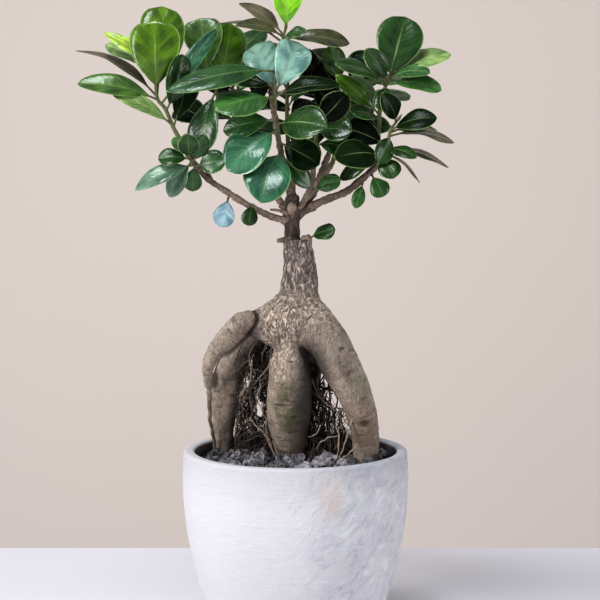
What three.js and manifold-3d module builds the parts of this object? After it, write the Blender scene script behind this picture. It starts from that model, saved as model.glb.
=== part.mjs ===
// A ginseng ficus in a whitewashed concrete pot.
// Millimetres, +Z up, the middle of the pot's underside at the origin, the plant's front towards -Y.
import * as THREE from "three";
import { mergeVertices } from "three/addons/utils/BufferGeometryUtils.js";
import { triTable } from "three/addons/objects/MarchingCubes.js";
import Module from "manifold-3d";

const wasm = await Module();
wasm.setup();

// Pot
const POT_HEIGHT = 110;
const POT_RADIUS = 67.8;
const POT_SIDES = 38;
const POT_WALL = 5.5;
const POT_FLOOR = 7;
const LIP_ROUND = 1.6;

// What fills the pot
const GAP = 0.3;
const HOLE_SIDES = 12;
const SOIL_TOP = 97;
const BED_TOP = 101.5;
const STONE_SPACING = 12.5;
const STONE_SIZE = [5, 7.6];

// The front view that the plant's points are given in: an eye this high and this far from the axis
const EYE_HEIGHT = 321;
const EYE_DISTANCE = 1184;

// Swollen roots and stock, as a skin round tapering routes
const SKIN_CELL = 5.3;
const BLEND = 5;
const STOCK_TOP = 235.6;
const ROOT_FOOT = 91;

// Leaves
const LEAF_THICKNESS = 1.1;
const STALK_WIDTH = 1.3;
const SAMPLE_ROWS = 8;
const LEAF_CLEARANCE = 3.6;
const WOOD_CLEARANCE = 1.5;
const DEPTH_STEP = 4;
const MOST_STEPS = 7;
const DEGREE = Math.PI / 180;
const GOLDEN_ANGLE = 137.5 * DEGREE;

// Seeded draw from 0 to 1
function drawFrom(seed) {
  let state = seed;
  return () => {
    state = (state * 16807) % 2147483647;
    return state / 2147483647;
  };
}

// A point given across and up as the front view shows it, and how far it lies behind the pot's axis
function seen([across, up, behind]) {
  const spread = 1 + behind / EYE_DISTANCE;
  return new THREE.Vector3(across * spread, behind, EYE_HEIGHT - (EYE_HEIGHT - up) * spread);
}

function solidOf(geometry) {
  const bare = geometry.clone();
  bare.deleteAttribute("normal");
  bare.deleteAttribute("uv");
  const merged = mergeVertices(bare, 1e-4);
  return new wasm.Manifold(
    new wasm.Mesh({
      numProp: 3,
      vertProperties: merged.attributes.position.array,
      triVerts: new Uint32Array(merged.index.array),
    }),
  );
}

// The largest body of a solid, with the loose scraps dropped
function largestBody(solid) {
  return solid.decompose().reduce((a, b) => (b.volume() > a.volume() ? b : a));
}

function geometryOf(solid) {
  const mesh = solid.getMesh();
  return new THREE.BufferGeometry()
    .setAttribute("position", new THREE.BufferAttribute(new Float32Array(mesh.vertProperties), 3))
    .setIndex(new THREE.BufferAttribute(new Uint32Array(mesh.triVerts), 1));
}

// A closed skin over rings of points that share their count, drawn to a point or closed flat at its end
function ringSkin(rings, tip) {
  const count = rings[0].length;
  const middle = (ring) =>
    ring.reduce((sum, p) => sum.add(p), new THREE.Vector3()).divideScalar(count);
  const points = [...rings.flat(), middle(rings[0]), tip ?? middle(rings.at(-1))];
  const first = rings.length * count;
  const faces = [];
  for (let k = 0; k < count; k++) {
    const next = (k + 1) % count;
    for (let ring = 0; ring + 1 < rings.length; ring++) {
      const [a, b] = [ring * count, (ring + 1) * count];
      faces.push(a + k, a + next, b + next, a + k, b + next, b + k);
    }
    const last = (rings.length - 1) * count;
    faces.push(first, next, k, first + 1, last + k, last + next);
  }
  return new THREE.BufferGeometry()
    .setAttribute("position", new THREE.Float32BufferAttribute(points.flatMap((p) => p.toArray()), 3))
    .setIndex(faces);
}

// A tapering limb round a route of points, with one radius a point
function limb(points, radii, sides) {
  const along = points.map((p, i) => {
    const before = points[Math.max(i - 1, 0)];
    const after = points[Math.min(i + 1, points.length - 1)];
    return after.clone().sub(before).normalize();
  });
  let side = new THREE.Vector3(0, 1, 0).cross(along[0]);
  if (side.length() < 0.2) side = new THREE.Vector3(1, 0, 0).cross(along[0]);
  const rings = points.map((p, i) => {
    side.addScaledVector(along[i], -side.dot(along[i])).normalize();
    const other = along[i].clone().cross(side);
    return Array.from({ length: sides }, (_, k) => {
      const turn = (2 * Math.PI * k) / sides;
      return p
        .clone()
        .addScaledVector(side, radii[i] * Math.cos(turn))
        .addScaledVector(other, radii[i] * Math.sin(turn));
    });
  });
  return solidOf(ringSkin(rings));
}

// A limb from rows of across, up, behind and radius
function limbOf(rows, sides, grown = 0) {
  return limb(rows.map(seen), rows.map((row) => row[3] + grown), sides);
}

// Swollen roots from the hip down into the soil: across, up, behind, radius
const OUTER_FINGER = [
  [-25, 186, -5.5, 7.4], [-30.5, 184, -7, 8.2], [-37.3, 180.6, -8, 8.3],
  [-43.8, 173.6, -8, 6.8], [-49.4, 164.6, -6, 5.3], [-51.5, 157.2, -4, 4.3], [-51.8, 148.5, 0, 3],
];
const SHOULDER = [[-3, 194, 2, 10], [-14, 189.6, 2, 8.8], [-23, 185.5, 3, 8], [-30, 181, 5, 6.5]];
const INNER_LEFT_LOBE = [
  [-14, 186, 8, 9], [-25, 180, 12, 7.5], [-33.5, 171, 15, 5.8], [-38.5, 163, 17, 5.4],
  [-43, 154, 19, 5.5], [-45, 145, 21, 5.4], [-45.6, 136, 23, 5], [-45.2, 127, 24, 4.6],
  [-44.8, 119.5, 25, 4.2], [-44, 113.5, 25.5, 3.3],
];
const INNER_LEFT_ROOT = [
  [-10, 188, 8, 10], [-21, 181, 12, 8], [-29.5, 172.5, 15, 6], [-33.5, 163.9, 17, 5.8],
  [-36.6, 155, 19, 6.2], [-38, 146, 21, 6.4], [-40, 137.2, 23, 6.2], [-41.6, 128.4, 24, 5.8],
  [-42.4, 119.5, 25, 5.2], [-42.8, 110.6, 26, 4.4], [-42.6, 90, 26, 3.8],
];
const MIDDLE_ROOT = [
  [-2, 188, 2, 12], [-3.2, 171.5, -2, 8.9], [-3.4, 161, -3, 11.6], [-3.2, 150, -2, 13.2],
  [-3.6, 140, 0, 13.5], [-4, 131, 3, 13.2], [-4, 122.4, 6, 12.1], [-3.4, 113, 9, 10],
  [-3, 106, 11, 8.1], [-2.6, 90, 12, 6],
];
const RIGHT_ROOT = [
  [3, 193, 4, 13], [9, 187, 0, 13], [19.5, 174.7, -6, 12], [26.5, 161, -9, 11.9],
  [32.3, 150.3, -10, 10.8], [37, 139, -9, 9.8], [40.5, 126.6, -6, 9.1], [42, 116, -3, 8.2],
  [41.8, 104, -2, 7.3], [41.6, 88, -2, 6],
];
const BACK_ROOT = [
  [2, 187, 12, 13], [5, 172, 24, 10.5], [4, 155, 34, 11.4], [2, 138, 40, 11.2],
  [0, 122, 43, 9.4], [-1, 106, 44, 7.2], [-1, 88, 44, 6],
];
const HIP_LOBE = [[-4, 190, -1, 13], [-10, 185.5, -1, 10.5], [-14.5, 179.5, -2, 7]];
const STOCK = [
  [0, 183, 7, 15], [1, 191, 7, 13.5], [1.6, 199.6, 6, 11.2], [2.8, 211.4, 6, 10.8],
  [2.4, 223, 6, 9.3], [1.6, 233, 6, 8.4], [1.4, 244, 6, 8.2],
];
const SWOLLEN = [
  STOCK, OUTER_FINGER, SHOULDER, INNER_LEFT_LOBE, INNER_LEFT_ROOT, MIDDLE_ROOT, RIGHT_ROOT, BACK_ROOT,
  HIP_LOBE,
];
const ROOTS_IN_SOIL = [INNER_LEFT_ROOT, MIDDLE_ROOT, RIGHT_ROOT, BACK_ROOT];

// Fine roots hanging from the hip and between the swollen roots
const FINE_ROOTS = [
  [[-51.8, 150, 0, 2.4], [-51.4, 140, 5, 1.5], [-51.2, 128, 11, 1.3], [-49.5, 117, 17, 1.2], [-48, 111, 20, 1.1]],
  [[-20, 178, 4, 1.2], [-26.5, 170, 2, 0.9], [-28, 161, 4, 0.8], [-30, 152, 10, 0.8], [-34, 142, 18, 0.9]],
  [[-16, 176, 4, 1.2], [-20, 166, 4, 0.9], [-18.5, 156, 5, 0.8], [-21, 145, 7, 0.8], [-24, 133, 9, 0.8], [-20.5, 121, 12, 0.8], [-13, 115, 13, 0.9]],
  [[-14, 172, 2, 1.1], [-16, 160, 0, 0.8], [-23, 151, 4, 0.8], [-29, 143, 12, 0.8], [-34, 134, 20, 0.9]],
  [[-22, 176, 10, 1.2], [-25, 160, 10, 0.8], [-27, 147, 10, 0.8], [-26, 130, 14, 0.8], [-29, 112, 18, 0.8]],
  [[12, 170, 2, 1.3], [14, 159, 6, 0.9], [13, 148, 6, 0.8], [17.5, 137, 6, 0.8], [20, 124, 8, 0.8], [17, 111, 10, 0.8]],
  [[22, 160, -2, 1.3], [21, 150, 2, 0.9], [25, 139, 4, 0.8], [22, 128, 6, 0.8], [26, 118, 5, 0.8], [24, 110, 4, 0.8]],
  [[26, 152, -4, 1.2], [29, 140, 0, 0.9], [27, 128, 2, 0.8], [31, 118, 2, 0.8], [38, 114, 0, 0.9]],
  [[8, 156, 0, 1.1], [13, 144, 1, 0.8], [20, 136, 0, 0.8], [28, 134, -2, 0.8], [34, 130, -5, 0.9]],
  [[9, 134, 4, 1.1], [14, 126, 6, 0.9], [11, 118, 8, 0.8], [15, 112, 8, 0.8]],
];

// Grafted stem and its wood: across, up, behind, radius
const GRAFT = [
  [-1.8, 230, 6, 5], [-1.8, 238, 6, 4.6], [-2.2, 245.7, 6, 4.9], [-1.8, 253, 6, 5.4], [-1.8, 258.7, 6, 4.2],
];
const LEFT_BRANCH = [
  [-2, 246, 6, 2.8], [-7, 247.4, 5, 2.2], [-15, 249.7, 3, 2], [-27, 255.6, 1, 1.9],
  [-39.4, 263.3, -1, 1.8], [-52.4, 272.2, -2, 1.7], [-60, 281.7, -2, 1.5], [-66.6, 292.3, -2, 1.4],
];
const RIGHT_BRANCH = [
  [-1, 249, 6, 3], [4, 252, 6, 2.7], [15.7, 258.4, 6, 2.4], [29.3, 263.8, 5, 2.2],
  [38.2, 270.6, 5, 2.1], [47, 278.6, 6, 1.9], [49.4, 282.9, 6, 1.8],
];
const INNER_BRANCH = [[0, 253, 5, 2.2], [4.4, 257.4, 4, 2], [9.2, 267.5, 3, 1.8], [11, 282.3, 2, 1.5]];
const INNER_RIGHT_BRANCH = [
  [1, 254, 8, 2.4], [9.8, 261.5, 10, 2], [15.7, 276.4, 11, 1.9], [22.8, 294, 12, 1.6],
];
const MIDDLE_BRANCH = [
  [-2, 256, 7, 2.4], [-5.6, 273.4, 7, 1.9], [-9.8, 294, 7, 1.7], [-13.3, 314.8, 8, 1.6],
  [-14.5, 326, 9, 1.6], [-14.5, 334.5, 9, 1.9],
];
const BACK_LEFT_BRANCH = [[-3, 252, 9, 2.4], [-12, 262, 22, 1.9], [-22, 277, 34, 1.5]];
const BACK_RIGHT_BRANCH = [[1, 253, 9, 2.4], [11, 264, 24, 1.9], [21, 280, 36, 1.5]];
const BACK_BRANCH = [[-2, 254, 9, 2.4], [-2, 270, 26, 1.8], [-4, 288, 38, 1.4]];
const FRONT_SPUR = [[-6.6, 278, 7, 1.5], [-8, 281, 1.5, 1.3]];
const MIDDLE_SPUR = [[-12.6, 311, 8, 1.4], [-12, 314, 3, 1.2]];
const LEFT_LOW_SPUR = [[-55.6, 276, -2, 1.4], [-57.5, 278, -5.6, 1.2]];
const LEFT_BACK_SPUR = [[-50, 270.5, -2, 1.5], [-52.5, 277, 3, 1.3], [-53.5, 284, 8, 1.3]];
const RIGHT_LOW_SPUR = [[44.5, 275.5, 5.5, 1.5], [48, 279, 0, 1.3]];
const PRUNED_STUBS = [
  [[-2, 252, 4, 3], [-2, 256.4, -1.2, 2.5]],
  [[-3, 252, 6, 2.4], [-9.4, 256.4, 5, 1.7]],
  [[-4, 251, 4, 1.6], [-10, 253, 1, 0.9], [-15, 253.4, 0, 0.7]],
  [[-3, 236, 5, 1.9], [-10.8, 235, 3, 1.3]],
  [[5, 235, 4, 3.2], [8.6, 236.6, 2.5, 2.4]],
];
const WOOD = [
  LEFT_BRANCH, RIGHT_BRANCH, INNER_BRANCH, INNER_RIGHT_BRANCH, MIDDLE_BRANCH, BACK_LEFT_BRANCH,
  BACK_RIGHT_BRANCH, BACK_BRANCH, FRONT_SPUR, MIDDLE_SPUR, LEFT_LOW_SPUR, LEFT_BACK_SPUR, RIGHT_LOW_SPUR,
];

// Leafy stems. Each starts at the cut end of its wood and follows its own route. Its leaves are rows
// of base (across, up, behind), tip (across, up, behind), width, and how far the upper face leans
// from facing the front towards facing up, and turns towards the right, in degrees.
const LEAFY_STEMS = [
  {
    name: "shoot_left",
    wood: LEFT_BRANCH,
    route: [[-71.9, 301.8, -2, 1.2], [-76.7, 313, -2, 1.1], [-81.4, 319.5, -2, 1], [-82.8, 336, -1, 0.8]],
    leaves: [
      [-82, 321, -3, -83, 364, -10, 30, 10, 0],
      [-81, 321, -1, -78, 373, 9, 27, 0, 15],
      [-83, 334, -1, -86, 367, 3, 15, 0, -20],
      [-83, 335, -1, -111, 359, -4, 9, 48, 0],
      [-83, 334, 0, -111.5, 352, 6, 12, 48, -10],
      [-82, 320, -1, -128, 349.5, 14, 15, 77, 0],
      [-81, 317.5, -3, -128, 328.5, -12, 17, 40, 0],
      [-72, 304, -3, -107, 321, -14, 12, 40, 0],
      [-72, 302, -1, -63.5, 337, 10, 18, 5, 20],
      [-76, 312, -3, -65, 344, -8, 18, 0, 35],
      [-79, 316, -3, -46, 360, 4, 10, 20, 20],
    ],
  },
  {
    name: "twig_left_low",
    wood: LEFT_LOW_SPUR,
    route: [[-60, 281, -8, 1], [-63, 284, -10, 0.9], [-65.5, 287.5, -11, 0.7]],
    leaves: [
      [-62, 283.5, -10, -81, 284, -14, 13, 40, 0],
      [-59, 280, -8, -95, 266, -20, 14, 40, -10],
      [-61, 282, -9, -75, 261, -8, 12, 30, 0],
      [-62, 284, -10, -64, 298, -17, 13, 0, 0],
      [-60, 282, -9, -53, 297, -14, 11, 10, 20],
      [-65, 287, -11, -72, 296, -13, 7, 20, 0],
      [-58.5, 279.5, -7, -41.5, 283, -15, 15, 15, 0],
      [-59.5, 280.5, -8, -61, 264, -4, 11, 0, 0],
    ],
  },
  {
    name: "shoot_left_back",
    wood: LEFT_BACK_SPUR,
    route: [[-54, 294, 13, 1.2], [-50, 303, 17, 1.1], [-46, 314, 19, 1], [-47, 325, 19, 0.9], [-51, 333, 18, 0.8]],
    leaves: [
      [-51, 332, 18, -56, 366, 20, 24, 0, -10],
      [-47, 325, 19, -38, 363, 24, 24, 0, 10],
      [-46.6, 323, 18, -59, 288, 2, 20, 15, -20],
      [-50, 303, 18, -70, 316, 34, 20, 40, -20],
      [-46, 314, 20, -33, 322, 42, 18, 50, 0],
      [-53, 298, 15, -74, 286, 30, 18, 40, -20],
      [-50, 331, 20, -62, 345, 44, 20, 50, -20],
    ],
  },
  {
    name: "shoot_centre",
    wood: MIDDLE_SPUR,
    route: [[-12, 319, 1, 1.1], [-12, 328, 0, 1.1], [-10.5, 340, 2, 1], [-8, 351, 5, 0.9], [-6, 359, 6, 0.8]],
    leaves: [
      [-11.2, 335, 0, -76, 324.5, -20, 20, 48, 0],
      [-12, 319, 0, -47, 312.5, -27, 24, 42, -10],
      [-12, 325, 0, -35, 333, 8, 13, 35, 0],
      [-12, 323, -1, -24, 351, 6, 21, 30, -20],
      [-12, 322, -1, 2, 352, 2, 22, 30, 20],
      [-12, 320, 0, 26, 328, -8, 16, 50, 0],
      [-6, 358, 5, -2, 393, 3, 18, 5, 0],
      [-7, 356, 6, -33, 375, 14, 14, 60, 0],
      [-7, 355, 5, -34, 364, -4, 14, 55, 0],
      [-8, 352, 5, -45, 366, 22, 14, 80, 0],
      [-7, 354, 5, 6, 359, -6, 8, 30, 20],
      [-7, 353, 6, 32, 353, 6, 16, 50, 0],
      [-10, 343, 2, 15, 336, 20, 18, 10, 10],
      [-11, 336, 1, -26, 322, 16, 17, 15, -10],
    ],
  },
  {
    name: "spray_front",
    wood: FRONT_SPUR,
    route: [[-8.6, 286, -2, 1.2], [-9.4, 294, -5, 1.1], [-10.6, 302, -9, 1], [-11, 307, -12, 0.8]],
    leaves: [
      [-10.8, 303.5, -11, 18.5, 302.5, -32, 24, 25, 10],
      [-9.2, 293, -5, 14, 281, -12, 20, 10, 10],
      [-10.2, 300.5, -8, -40, 278.5, -26, 26, 20, -15],
      [-8.8, 288, -3, -20.5, 259.5, -32, 28, 40, 0],
      [-11, 306, -11, -43, 301, -10, 18, 40, 0],
      [-8.6, 286, -2, 9, 266, -2, 13, 0, 20],
    ],
  },
  {
    name: "spray_centre_low",
    wood: INNER_BRANCH,
    route: [[11.6, 290, 0, 1.2], [12.4, 298, -2, 1], [13, 305, -2, 0.8]],
    leaves: [
      [12.6, 300, -2, 33, 300, -16, 17, 35, 0],
      [13, 304, -2, 29, 321, -12, 17, 15, 15],
      [12.2, 297, -1, 4, 318, 10, 16, 20, -10],
      [11.8, 292, -1, 34, 289, -8, 15, 40, 0],
      [13, 303, -1, -5, 299, 12, 18, 10, 0],
      [12.4, 299, 0, 5, 282, 10, 16, 0, 0],
    ],
  },
  {
    name: "spray_centre_right",
    wood: INNER_RIGHT_BRANCH,
    route: [[25, 301, 13, 1.2], [27, 312, 14, 1.1], [27.5, 324, 15, 1], [24, 335, 15, 0.8]],
    leaves: [
      [25.5, 304, 13, 40, 320, 6, 17, 20, 20],
      [26.6, 310, 14, 12, 324, 6, 18, 30, 0],
      [27, 315, 15, 44, 330, 26, 20, 30, 20],
      [27.4, 321, 15, 14, 340, 20, 18, 30, 0],
      [26.6, 328, 15, 21, 350, 8, 14, 10, 0],
      [25.4, 303, 14, 10, 294, 20, 16, 50, 0],
      [24.4, 334, 15, 4, 346, 24, 16, 50, 0],
      [24.4, 334, 15, 47, 343, 24, 15, 35, 0],
      [27, 312, 15, 5, 307, 28, 20, 20, 0],
      [27, 320, 15, 48, 313, 30, 20, 20, 0],
      [25.6, 305, 14, 47, 296, 22, 18, 15, 0],
    ],
  },
  {
    name: "shoot_right",
    wood: RIGHT_BRANCH,
    route: [[49, 294, 6, 1.4], [49.4, 306, 6, 1.3], [50.5, 318, 6, 1.1], [53.5, 327, 6, 1], [56, 331.5, 6, 0.8]],
    leaves: [
      [54.2, 328.5, 5, 64.5, 367, 6, 28, 5, 0],
      [55.6, 331, 5, 91, 346, 6, 17, 58, 0],
      [56, 331, 7, 80, 348, 18, 9, 40, 10],
      [55, 327, 5, 86, 324, -4, 16, 52, 0],
      [55.6, 330.5, 4, 78, 336, -8, 13, 50, 0],
      [53.4, 326.5, 5, 51, 313, -12, 12, 40, 0],
      [53, 326, 5, 25, 341, -10, 16, 55, 0],
      [54, 328, 7, 36, 345, 18, 14, 40, 0],
      [54.4, 329, 5, 42, 348, -6, 12, 20, -10],
      [49.6, 309, 6, 24, 333, 16, 12, 30, 0],
      [49.4, 306, 4, 34, 313, -18, 13, 40, 0],
    ],
  },
  {
    name: "twig_right_low",
    wood: RIGHT_LOW_SPUR,
    route: [[51.5, 285, -4, 1.1], [54.5, 292, -6, 1], [56, 300, -6, 0.9], [60, 306, -5, 0.7]],
    leaves: [
      [56.4, 300, -6, 82.5, 309.5, -14, 16, 45, 0],
      [55, 297, -6, 94, 296, -2, 18, 76, 0],
      [56, 299, -5, 84, 302, 10, 15, 60, 0],
      [53, 289.5, -5, 91, 280, 0, 16, 76, 0],
      [52.4, 287, -4, 74, 270, 6, 12, 70, 10],
      [51.6, 285, -4, 58, 272, -16, 14, 35, 0],
      [53.4, 289, -5, 71, 286, -20, 11, 50, 0],
      [51, 285, -4, 25, 286, -20, 20, 25, 0],
      [50.4, 283, -3, 25, 273, -2, 14, 45, 0],
      [59.4, 305, -5, 52, 322, -8, 12, 20, 0],
      [54, 291, -6, 27, 303, -6, 18, 35, 0],
      [56, 298, -6, 49, 281, -14, 12, 20, 20],
    ],
  },
  {
    name: "shoot_back_left",
    wood: BACK_LEFT_BRANCH,
    route: [[-30, 296, 44, 1.3], [-36, 318, 50, 1.1], [-38, 338, 50, 0.8]],
    leaves: [],
    fill: { count: 12, seed: 11, heading: 115 },
  },
  {
    name: "shoot_back_right",
    wood: BACK_RIGHT_BRANCH,
    route: [[27, 298, 46, 1.3], [32, 314, 50, 1.1], [32, 326, 50, 0.8]],
    leaves: [],
    fill: { count: 12, seed: 29, heading: 65 },
  },
  {
    name: "shoot_back",
    wood: BACK_BRANCH,
    route: [[-5, 304, 44, 1.3], [-5, 320, 47, 1.1], [-4, 335, 46, 0.8]],
    leaves: [],
    fill: { count: 12, seed: 57, heading: 90 },
  },
];

// Single leaves on bare wood: name, and one row each as above
const LONE_LEAVES = [
  ["leaf_left_hanging", [-39.6, 260.9, -1.4, -44, 243, -4, 13, 10, 0]],
  ["leaf_left_inner", [-25.3, 256.9, -1.1, -28.1, 244.4, -6, 10, 20, 0]],
  ["leaf_stock", [9.1, 236.85, 2.3, 22.8, 242.4, -5, 12, 40, 0]],
  ["leaf_inner", [10.5, 265.2, 3, 26, 272, -4, 11, 25, 0]],
  ["leaf_right_hanging", [45.2, 273.9, 4, 52, 261.5, -3, 12, 15, 0]],
  ["leaf_right_small", [39.8, 269.2, 3.4, 35.5, 254.5, -4, 8, 25, 0]],
];

// Blade outline: share of the blade's length, and half width as a share of the full half width
const OUTLINE = [[0, 0], [0.28, 0.66], [0.62, 1], [0.88, 0.72]];
const STALK_SHARE = 0.13;
const ARCH = 0.09;
const FOLD = 0.2;

// The place on a stem's middle line that is nearest to a point
function nearestOn(rows, point) {
  let best = null;
  for (let i = 0; i + 1 < rows.length; i++) {
    const [a, b] = [seen(rows[i]), seen(rows[i + 1])];
    const run = b.clone().sub(a);
    const share = THREE.MathUtils.clamp(point.clone().sub(a).dot(run) / run.lengthSq(), 0, 1);
    const place = a.addScaledVector(run, share);
    if (!best || place.distanceTo(point) < best.distanceTo(point)) best = place;
  }
  return best;
}

// Frame of a leaf: base, unit vectors along, across and out of its upper face, length and width
function leafFrame(row, shift, stem) {
  const asked = seen(row.slice(0, 3));
  const base = stem ? nearestOn(stem, asked) : asked;
  const tip = seen([row[3], row[4], row[5] + shift]);
  const along = tip.clone().sub(base);
  const length = along.length();
  along.divideScalar(length);
  const [lean, turn] = [row[7] * DEGREE, row[8] * DEGREE];
  const out = new THREE.Vector3(
    Math.sin(turn) * Math.cos(lean),
    -Math.cos(turn) * Math.cos(lean),
    Math.sin(lean),
  );
  out.addScaledVector(along, -out.dot(along)).normalize();
  return { base, along, across: out.clone().cross(along), out, length, width: row[6] };
}

// Point of a leaf's middle surface: share of the length, and share of the half width at it
function leafPoint(leaf, share, halfWidth, side) {
  const blade = Math.max(0, (share - STALK_SHARE) / (1 - STALK_SHARE));
  const rise = ARCH * leaf.length * Math.sin(Math.PI * share) + FOLD * halfWidth * Math.abs(side);
  const droop = 0.5 * ARCH * leaf.length * blade * blade;
  return leaf.base
    .clone()
    .addScaledVector(leaf.along, share * leaf.length)
    .addScaledVector(leaf.across, side * halfWidth)
    .addScaledVector(leaf.out, rise - droop);
}

function leafSolid(leaf) {
  const ring = (share, halfWidth, halfThickness) => {
    const middle = leafPoint(leaf, share, halfWidth, 0);
    return [
      leafPoint(leaf, share, halfWidth, 1),
      middle.clone().addScaledVector(leaf.out, halfThickness),
      leafPoint(leaf, share, halfWidth, -1),
      middle.clone().addScaledVector(leaf.out, -halfThickness),
    ];
  };
  const rings = [ring(0, STALK_WIDTH / 2, STALK_WIDTH / 2)];
  for (const [share, width] of OUTLINE) {
    const halfWidth = Math.max(STALK_WIDTH / 2, (width * leaf.width) / 2);
    const at = STALK_SHARE + share * (1 - STALK_SHARE);
    rings.push(ring(at, halfWidth, LEAF_THICKNESS / 2));
  }
  return solidOf(ringSkin(rings, leafPoint(leaf, 1, 0, 0)));
}

// Half width of the outline at a share of the blade's length
function outlineAt(share) {
  const rows = [...OUTLINE, [1, 0]];
  const k = Math.max(rows.findIndex((row) => row[0] >= share), 1);
  const [low, high] = [rows[k - 1], rows[k]];
  return low[1] + ((share - low[0]) / (high[0] - low[0])) * (high[1] - low[1]);
}

// Points all over a leaf that stand for it where leaves are kept clear of each other
function leafSamples(leaf) {
  const samples = [leafPoint(leaf, STALK_SHARE * 0.6, 0, 0)];
  for (let i = 0; i <= SAMPLE_ROWS; i++) {
    const share = i / SAMPLE_ROWS;
    const halfWidth = (outlineAt(share) * leaf.width) / 2;
    for (const side of [-1, -0.5, 0, 0.5, 1])
      samples.push(leafPoint(leaf, STALK_SHARE + share * (1 - STALK_SHARE), halfWidth, side));
  }
  return samples;
}

// Points along a limb, each with the radius there
function limbSamples(rows) {
  const samples = [];
  for (let i = 0; i + 1 < rows.length; i++)
    for (const share of [0, 0.25, 0.5, 0.75, 1]) {
      const row = rows[i].map((value, k) => value + share * (rows[i + 1][k] - value));
      samples.push({ point: seen(row), radius: row[3] });
    }
  return samples;
}

// Least distance between samples of a leaf and leaves or stems that belong to other nodes
function clearance(samples, placed, limbs, owner) {
  let least = Infinity;
  for (const other of placed)
    if (other.owner !== owner)
      for (const a of samples)
        for (const b of other.samples) least = Math.min(least, a.distanceTo(b) / LEAF_CLEARANCE);
  for (const other of limbs)
    if (other.owner !== owner)
      for (const a of samples)
        for (const b of other.samples)
          least = Math.min(least, a.distanceTo(b.point) / (b.radius + WOOD_CLEARANCE));
  return least;
}

// A leaf's frame with its tip pushed back or forward just far enough to clear what is there
function clearLeaf(row, owner, placed, limbs, stem) {
  let best = null;
  for (let step = 0; step <= 2 * MOST_STEPS; step++) {
    const shift = DEPTH_STEP * Math.ceil(step / 2) * (step % 2 ? 1 : -1);
    const leaf = leafFrame(row, shift, stem);
    const samples = leafSamples(leaf);
    const room = clearance(samples, placed, limbs, owner);
    if (!best || room > best.room) best = { leaf, samples, room, owner };
    if (room >= 1) break;
  }
  return best;
}

// Rows of leaves set spirally up a stem and heading away from it, drawn from a seed
function fillRows(route, { count, seed, heading }) {
  const draw = drawFrom(seed);
  return Array.from({ length: count }, (_, i) => {
    const place = ((i + 0.5) / count) * (route.length - 1);
    const k = Math.min(Math.floor(place), route.length - 2);
    const [across, up, behind] = route[k].map((v, j) => v + (place - k) * (route[k + 1][j] - v));
    const length = 30 + 12 * draw();
    const swing = (i * GOLDEN_ANGLE) % (2 * Math.PI);
    const azimuth = heading * DEGREE + (swing - Math.PI) * 0.8;
    const rise = (-15 + 55 * draw() + (20 * i) / count) * DEGREE;
    const reach = length * Math.cos(rise);
    return [
      across, up, behind,
      across + reach * Math.cos(azimuth),
      up + length * Math.sin(rise),
      behind + reach * Math.sin(azimuth),
      length * (0.5 + 0.1 * draw()), 50 + 20 * draw(), 30 * Math.cos(azimuth),
    ];
  });
}

// Route of a leafy stem, from just past the cut end of its wood
function stemRows({ wood, route }) {
  const [before, end] = wood.slice(-2);
  const run = seen(end).sub(seen(before));
  const off = (GAP + 0.05) / run.length();
  const start = end.map((value, k) => value + off * (value - before[k]));
  const square = end.map((value, k) => value + 5 * off * (value - before[k]));
  start[3] = end[3];
  square[3] = end[3];
  return [start, square, ...route];
}

function leafySolids() {
  const limbs = [...WOOD, GRAFT, STOCK].map((rows) => ({ owner: "wood", samples: limbSamples(rows) }));
  const stems = LEAFY_STEMS.map((stem) => ({ ...stem, rows: stemRows(stem) }));
  for (const { name, rows } of stems) limbs.push({ owner: name, samples: limbSamples(rows) });
  const placed = [];
  for (const [name, row] of LONE_LEAVES) placed.push(clearLeaf(row, name, placed, []));
  for (const { name, rows, leaves } of stems)
    for (const row of leaves) placed.push(clearLeaf(row, name, placed, limbs, rows));
  for (const { name, rows, route, fill } of stems)
    for (const row of fill ? fillRows(route, fill) : []) {
      const leaf = clearLeaf(row, name, placed, limbs, rows);
      if (leaf.room >= 1) placed.push(leaf);
    }
  const solids = new Map(stems.map(({ name, rows }) => [name, limbOf(rows, 4)]));
  for (const { leaf, owner } of placed)
    solids.set(owner, solids.has(owner) ? solids.get(owner).add(leafSolid(leaf)) : leafSolid(leaf));
  return solids;
}

// Signed distance to a tapering route: below zero inside it
function routeDistance(p, route) {
  let least = Infinity;
  for (let i = 0; i + 1 < route.length; i++) {
    const [a, b] = [route[i].point, route[i + 1].point];
    const run = b.clone().sub(a);
    const share = THREE.MathUtils.clamp(p.clone().sub(a).dot(run) / run.lengthSq(), 0, 1);
    const radius = route[i].radius + share * (route[i + 1].radius - route[i].radius);
    least = Math.min(least, p.distanceTo(a.clone().addScaledVector(run, share)) - radius);
  }
  return least;
}

// Smooth union of the swollen routes, which lets neighbours grow into each other at the hip
function swollenDistance(p, routes) {
  let least = Infinity;
  for (const route of routes) {
    const d = routeDistance(p, route);
    if (least === Infinity) {
      least = Math.max(d, p.z - STOCK_TOP);
      continue;
    }
    const near = Math.max(BLEND - Math.abs(least - d), 0) / BLEND;
    least = Math.min(least, d) - (near * near * BLEND) / 4;
  }
  return Math.max(least, ROOT_FOOT - p.z);
}

// Corners of a cell, and the two corners that each of its edges joins
const CORNERS = [[0, 0, 0], [1, 0, 0], [1, 1, 0], [0, 1, 0], [0, 0, 1], [1, 0, 1], [1, 1, 1], [0, 1, 1]];
const EDGES = [
  [0, 1], [1, 2], [2, 3], [3, 0], [4, 5], [5, 6], [6, 7], [7, 4], [0, 4], [1, 5], [2, 6], [3, 7],
];

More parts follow.
